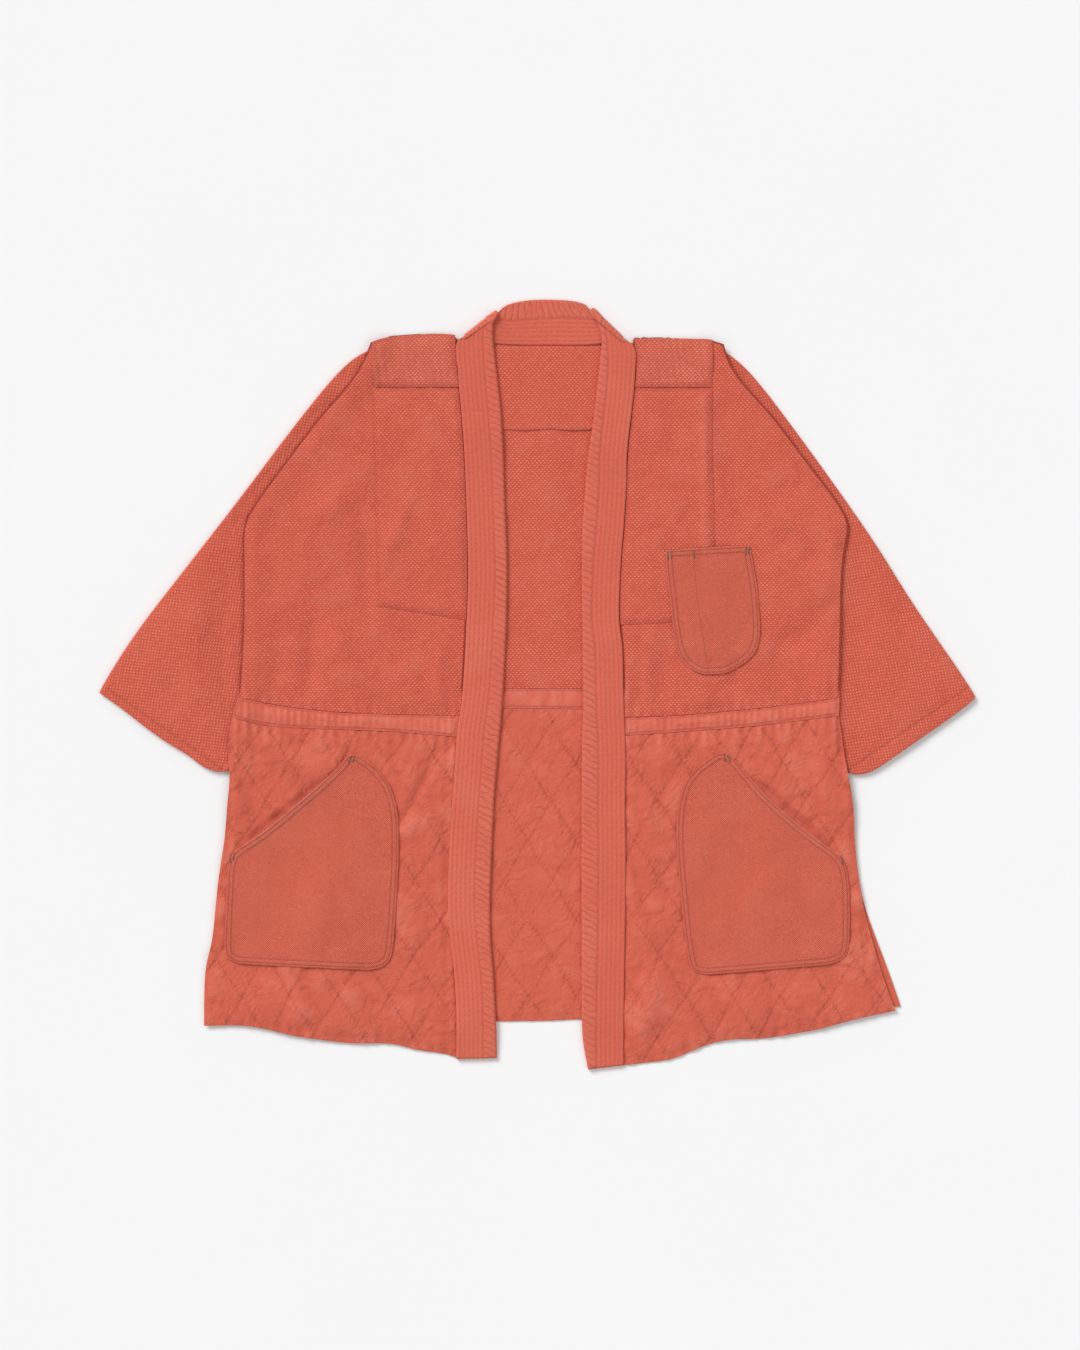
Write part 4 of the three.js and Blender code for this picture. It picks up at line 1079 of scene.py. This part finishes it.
# Sharp creases of crumpled cloth, as valleys between slopes of two sizes.
def creaseGroup():
    tree, (vector, scale), result = newGroup("creases", {"Vector": vectorKind, "Scale": number}, "Height")
    total = 0.0
    for finer, share in ((1.0, 1.0), (2.6, 0.45)):
        node = tree.nodes.new("ShaderNodeTexNoise")
        node.inputs["Detail"].default_value = 1.0
        node.inputs["Distortion"].default_value = 0.9
        tree.links.new(vector, node.inputs["Vector"])
        joinSocket(tree, scale * finer, node.inputs["Scale"])
        total = abs(Number(tree, node.outputs["Fac"]) - 0.5) * (2 * share) + total
    joinSocket(tree, total, result)
    return tree


# Seams of the quilting: a narrow furrow along each, and fine puckers that cross it.
def quiltSeamGroup():
    tree, (vector, rising, falling), result = newGroup(
        "quiltSeams", {"Vector": vectorKind, "Rising": number, "Falling": number}, "Height")
    wander = noiseAt(tree, vector, 110, 3.0) - 0.5
    strength = noiseAt(tree, vector, 30) * 1.6
    puckersPerSeam = 9
    total = 0.0
    for line, other in ((rising, falling), (falling, rising)):
        away = abs(calculate(tree, "FRACT", line + 0.5) - 0.5) * (1 / seamSlope)
        furrow = fading(tree, abs(away + wander * 4.5), 1.1)
        turns = other * (2 * math.pi * puckersPerSeam) + wander * 16.0
        ripple = calculate(tree, "SINE", turns) * fading(tree, away, 0.17)
        total = (ripple * 0.42 - furrow) * strength + total
    joinSocket(tree, total, result)
    return tree


# Puckers of the band's folded edge: slits that slant across the strip, read from the band's own map.
def stripPuckerGroup():
    tree, (layout, begin, pitch), result = newGroup(
        "stripPuckers", {"Map": vectorKind, "From": number, "Pitch": number}, "Slits")
    x, y = partsOf(tree, layout)
    wander = (noiseAt(tree, layout, 70, 3.0) - 0.5) * 1.5
    turns = x / pitch + y / (14 * mm)
    wave = abs(calculate(tree, "SINE", (turns + wander) * math.pi))
    slit = (1.0 - wave) ** 2.2
    shown = ((y - begin) * 700).atLeast(0.0).atMost(1.0)
    joinSocket(tree, slit * shown * (noiseAt(tree, layout, 45) + 0.35), result)
    return tree


riceGrain = riceGrainGroup()
stripPuckers = stripPuckerGroup()
creases = creaseGroup()
quiltSeams = quiltSeamGroup()
plainWeave = plainWeaveGroup()
fadeAndShade = fadeAndShadeGroup()
seamFurrow = seamFurrowGroup()


def useGroup(tree, group, **values):
    node = tree.nodes.new("ShaderNodeGroup")
    node.node_tree = group
    for name, value in values.items():
        joinSocket(tree, value, node.inputs[name])
    result = node.outputs[0]
    return Number(tree, result) if result.type == "VALUE" else result


def readNumber(tree, name):
    node = tree.nodes.new("ShaderNodeAttribute")
    node.attribute_name = name
    return Number(tree, node.outputs["Fac"])


# New material with its tree, its shader and its object's coordinates.
def newMaterial(name):
    material = bpy.data.materials.new(name)
    material.use_nodes = True
    tree = material.node_tree
    coordinates = tree.nodes.new("ShaderNodeTexCoord").outputs["Object"]
    return material, tree, tree.nodes["Principled BSDF"], coordinates


def addBump(tree, shader, height, distance):
    bump = tree.nodes.new("ShaderNodeBump")
    bump.inputs["Distance"].default_value = distance
    joinSocket(tree, height, bump.inputs["Height"])
    tree.links.new(bump.outputs["Normal"], shader.inputs["Normal"])


# A cotton: its weave gives both the colour of tops and gaps and the bump.
def cottonMaterial(name, look):
    material, tree, shader, coordinates = newMaterial(name)
    shader.inputs["Sheen Weight"].default_value = look["sheen"]
    shader.inputs["Sheen Roughness"].default_value = 0.55
    shader.inputs["Specular IOR Level"].default_value = 0.25
    relief = readNumber(tree, "relief")
    edge = readNumber(tree, "edge")
    if look["weave"] == "rice":
        weave = useGroup(
            tree, riceGrain, Vector=coordinates, Turn=look["turn"], Across=look["across"],
            Down=look["down"])
    else:
        weave = useGroup(tree, plainWeave, Vector=coordinates, Turn=look["turn"], Pitch=look["pitch"])
    woven = mixColour(tree, weave, look["gaps"], look["tops"])
    # Painted highlight on raised relief and painted shade in its hollows, together with a wear fade.
    shaded = useGroup(tree, fadeAndShade, Vector=coordinates, Color=woven, Relief=relief, Fade=look["reliefShare"])
    furrows = 0.0
    for inset in look["furrows"]:
        furrows = useGroup(tree, seamFurrow, Edge=edge, Inset=inset, Width=1.1).atLeast(furrows)
    if look["furrowsAbove"] is not None:
        y = partsOf(tree, coordinates)[1]
        furrows = furrows * ((y - look["furrowsAbove"]) * 100).atLeast(0.0).atMost(1.0)
    if look["puckered"]:
        layout = tree.nodes.new("ShaderNodeUVMap")
        layout.uv_map = "band"
        slits = useGroup(
            tree, stripPuckers, Map=layout.outputs["UV"], From=collarBand["stripFrom"] * mm,
            Pitch=collarBand["puckerPitch"] * mm)
        furrows = slits.atLeast(furrows * 0.3)
    # Painted shade: stitch furrows, the collar's puckered slits and the bodice rims are mixed toward the
    # dark shade colour.
    shaded = mixColour(tree, furrows * look["furrowShade"], shaded, paintedShadeColour)
    rough = noiseAt(tree, coordinates, 900) * 0.2 + 0.78
    joinSocket(tree, rough, shader.inputs["Roughness"])
    crumple = noiseAt(tree, coordinates, 150, 4.0, 0.6)
    height = weave * look["bump"] + crumple * look["crumple"] - furrows * look["furrowDepth"]
    crease = useGroup(tree, creases, Vector=coordinates, Scale=look["creaseScale"])
    height = height + crease * look["creases"]
    if look["quilted"]:
        rising = readNumber(tree, "rising")
        falling = readNumber(tree, "falling")
        seams = useGroup(tree, quiltSeams, Vector=coordinates, Rising=rising, Falling=falling)
        height = height + seams * look["quilted"]
        # Painted shade along the quilting seams and painted highlight on the puckers beside them.
        shaded = mixColour(tree, (seams * -0.07).atLeast(0.0).atMost(0.07), shaded, paintedShadeColour)
        raised = (seams * 0.35).atLeast(0.0).atMost(0.22)
        shaded = mixColour(tree, raised, shaded, colour(244, 150, 122))
    tree.links.new(shaded, shader.inputs["Base Color"])
    addBump(tree, shader, height, 1 * mm)
    return material


cotton = {
    "turn": 0.0, "furrows": (), "furrowShade": 0.16, "furrowDepth": 0.4, "furrowsAbove": None,
    "creases": 0.9, "quilted": 0, "puckered": False,
}
sashiko = {
    **cotton, "weave": "rice", "across": 4.4 * mm, "down": 2.35 * mm, "bump": 0.5, "crumple": 0.3,
    "gaps": colour(197, 81, 62), "tops": colour(236, 122, 97), "sheen": 0.12, "reliefShare": 0.5,
    "creaseScale": 34,
}
plain = {
    **cotton, "weave": "plain", "pitch": 1.3 * mm, "bump": 0.1, "crumple": 0.4, "sheen": 0.15,
    "creaseScale": 40,
}
looks = {
    "sashikoCloth": sashiko,
    # Painted shadow: a dark line along the bodice's edges above the waist, as cast by the raised edge.
    "rimShadowCloth": {
        **sashiko, "furrows": (0.2, 1.3), "furrowShade": 0.85, "furrowDepth": 0.2,
        "furrowsAbove": -14 * mm,
    },
    "rightSleeveCloth": {**sashiko, "turn": 0.93, "furrows": (cuffs["rightSleeveCloth"]["hem"],)},
    "leftSleeveCloth": {**sashiko, "turn": -0.97, "furrows": (cuffs["leftSleeveCloth"]["hem"],)},
    # Painted light: a lighter copy of the sashiko colours for the shoulder patches, offsetting the shade of
    # their slope.
    "shoulderCloth": {
        **sashiko, "reliefShare": 0.6, "gaps": colour(204, 91, 72), "tops": colour(244, 137, 112),
    },
    "patchCloth": sashiko,
    "collarCloth": {
        **plain, "reliefShare": 0.6, "creases": 0.5, "puckered": True, "furrowShade": 0.2, "furrowDepth": 0.7,
        "crumple": 0.6, "furrows": collarBand["rows"] + (collarBand["stripFrom"],),
        "gaps": colour(200, 86, 67), "tops": colour(225, 113, 90),
    },
    "waistbandCloth": {
        **plain, "crumple": 0.8, "reliefShare": 0.8, "furrows": (2.2,), "creaseScale": 60, "furrowShade": 0.1,
        "gaps": colour(200, 87, 67), "tops": colour(224, 112, 89),
    },
    "skirtCloth": {
        **plain, "turn": 0.05, "pitch": 1.2 * mm, "crumple": 0.6, "reliefShare": 0.6, "creases": 1.8,
        "quilted": 0.55, "gaps": colour(197, 84, 64), "tops": colour(219, 106, 82),
    },
    "pocketCloth": {
        **plain, "pitch": 2.4 * mm, "bump": 0.75, "crumple": 0.3, "reliefShare": 0.4, "furrowShade": 0.2,
        "furrows": (pocketRows["outer"], pocketRows["inner"]), "creases": 0.6, "creaseScale": 24,
        "gaps": colour(180, 66, 47), "tops": colour(237, 121, 95),
    },
}
cottons = {name: cottonMaterial(name, look) for name, look in looks.items()}


def threadMaterial(name, low, high):
    material, tree, shader, coordinates = newMaterial(name)
    shader.inputs["Sheen Weight"].default_value = 0.2
    ply = noiseAt(tree, coordinates, 1400)
    tree.links.new(mixColour(tree, ply, low, high), shader.inputs["Base Color"])
    joinSocket(tree, ply * 0.25 + 0.6, shader.inputs["Roughness"])
    addBump(tree, shader, ply, 0.2 * mm)
    return material


thread = threadMaterial("coralThread", colour(196, 84, 66), colour(226, 118, 96))
pocketThread = threadMaterial("brownThread", colour(146, 62, 52), colour(186, 92, 78))
tackThread = threadMaterial("greyThread", colour(84, 62, 58), colour(128, 96, 88))

# The look of each cloth and the slot it stands in.
finishes = {
    "chestPocketCloth": ("pocketCloth", "pocket_cotton"),
    "rightHipPocketCloth": ("pocketCloth", "pocket_cotton"),
    "leftHipPocketCloth": ("pocketCloth", "pocket_cotton"),
    "rightShoulderCloth": ("shoulderCloth", "sashiko_cotton"),
    "leftShoulderCloth": ("shoulderCloth", "sashiko_cotton"),
    "rightChestCloth": ("patchCloth", "sashiko_cotton"),
    "leftChestCloth": ("patchCloth", "sashiko_cotton"),
    "rightBodiceCloth": ("rimShadowCloth", "sashiko_cotton"),
    "leftBodiceCloth": ("rimShadowCloth", "sashiko_cotton"),
    "backYokeCloth": ("sashikoCloth", "sashiko_cotton"),
    "backBodiceCloth": ("sashikoCloth", "sashiko_cotton"),
    "rightSleeveCloth": ("rightSleeveCloth", "sashiko_cotton"),
    "leftSleeveCloth": ("leftSleeveCloth", "sashiko_cotton"),
    "rightWaistCloth": ("waistbandCloth", "waistband_cotton"),
    "leftWaistCloth": ("waistbandCloth", "waistband_cotton"),
    "backWaistCloth": ("waistbandCloth", "waistband_cotton"),
    "rightSkirtCloth": ("skirtCloth", "skirt_cotton"),
    "leftSkirtCloth": ("skirtCloth", "skirt_cotton"),
    "backSkirtCloth": ("skirtCloth", "skirt_cotton"),
    "collarBandCloth": ("collarCloth", "collar_cotton"),
}


def finish(piece, material):
    piece.data.materials.clear()
    piece.data.materials.append(material)


for name, (look, slot) in finishes.items():
    finish(pieces[name], cottons[look])
for cloth, piece in stitching.items():
    slot = finishes.get(cloth, finishes["chestPocketCloth"])[1]
    finish(piece, pocketThread if "Pocket" in piece.name or "pen" in piece.name else thread)
for cloth, piece in tacks.items():
    finish(piece, tackThread)
print("materials set")


# Area inside an outline, in square metres.
def flatArea(loop):
    after = np.roll(loop, -1, axis=0)
    return abs(np.sum(loop[:, 0] * after[:, 1] - after[:, 0] * loop[:, 1])) / 2 * mm * mm


restsOn = {
    "chestPocketCloth": ["leftBodiceCloth", "leftChestCloth"],
    "rightHipPocketCloth": ["rightSkirtCloth"],
    "leftHipPocketCloth": ["leftSkirtCloth"],
    "rightShoulderCloth": ["rightBodiceCloth"],
    "leftShoulderCloth": ["leftBodiceCloth"],
    "rightChestCloth": ["rightBodiceCloth"],
    "leftChestCloth": ["leftBodiceCloth"],
    "rightBodiceCloth": ["backBodiceCloth", "rightSleeveCloth"],
    "leftBodiceCloth": ["backBodiceCloth", "leftSleeveCloth"],
    "rightWaistCloth": ["backWaistCloth", "rightSleeveCloth"],
    "leftWaistCloth": ["backWaistCloth", "leftSleeveCloth"],
    "rightSkirtCloth": ["backSkirtCloth", "rightSleeveCloth"],
    "leftSkirtCloth": ["backSkirtCloth", "leftSleeveCloth"],
    "backYokeCloth": ["backBodiceCloth"],
    "backBodiceCloth": [],
    "backWaistCloth": [],
    "backSkirtCloth": [],
}
for cloth, under in restsOn.items():
    loop = outlines[cloth]
    size = (loop.max(axis=0) - loop.min(axis=0))[:2] * mm
    extra = [stitching[cloth]] if cloth in stitching else []
    extra += [tacks[cloth]] if cloth in tacks else []
    extra += [stitching["penDivider"]] if cloth == "chestPocketCloth" else []
    float(flatArea(loop))


# Plain pale floor, soft light from the upper left and an even sky.
def studio():
    bpy.ops.object.select_all(action="DESELECT")
    bpy.ops.mesh.primitive_plane_add(size=60, location=(0, 0, -0.4 * mm))
    floor = bpy.context.view_layer.objects.active
    floor.name = "paleFloor"
    material, tree, shader, coordinates = newMaterial("palePaper")
    shader.inputs["Roughness"].default_value = 0.95
    shader.inputs["Specular IOR Level"].default_value = 0.1
    paper = mixColour(tree, noiseAt(tree, coordinates, 3), (0.90, 0.90, 0.90, 1), (0.91, 0.91, 0.91, 1))
    tree.links.new(paper, shader.inputs["Base Color"])
    floor.data.materials.append(material)
    lamps = {
        "keyLight": {"from": (-0.85, 0.95, 1.0), "angle": 0.5, "strength": 2.15},
        "fillLight": {"from": (1.0, -0.7, 1.6), "angle": 0.9, "strength": 0.35},
    }
    for name, lamp in lamps.items():
        light = bpy.data.lights.new(name, "SUN")
        light.angle = lamp["angle"]
        light.energy = lamp["strength"]
        holder = bpy.data.objects.new(name, light)
        holder.rotation_euler = (-Vector(lamp["from"])).to_track_quat("-Z", "Y").to_euler()
        bpy.context.scene.collection.objects.link(holder)
    world = bpy.data.worlds.new("paleSky")
    world.use_nodes = True
    sky = world.node_tree.nodes["Background"]
    sky.inputs["Color"].default_value = (1, 1, 1, 1)
    sky.inputs["Strength"].default_value = 0.523
    bpy.context.scene.world = world
    bpy.context.scene.view_settings.view_transform = "Standard"


# Camera straight above; the photo's frame is 1188 by 1485 mm on the floor.
def camera():
    view = {"height": 4.0, "x": 3.3 * mm, "y": 10.45 * mm, "tall": 1.485}
    lens = bpy.data.cameras.new("camera")
    lens.sensor_width = 36
    lens.lens = 36 * view["height"] / view["tall"]
    holder = bpy.data.objects.new("camera", lens)
    holder.location = (view["x"], view["y"], view["height"])
    bpy.context.scene.collection.objects.link(holder)
    bpy.context.scene.camera = holder


studio()
camera()
shown = [*pieces.values(), *stitching.values(), *tacks.values()]
print("triangles", sum(len(p.vertices) - 2 for piece in shown for p in piece.data.polygons))
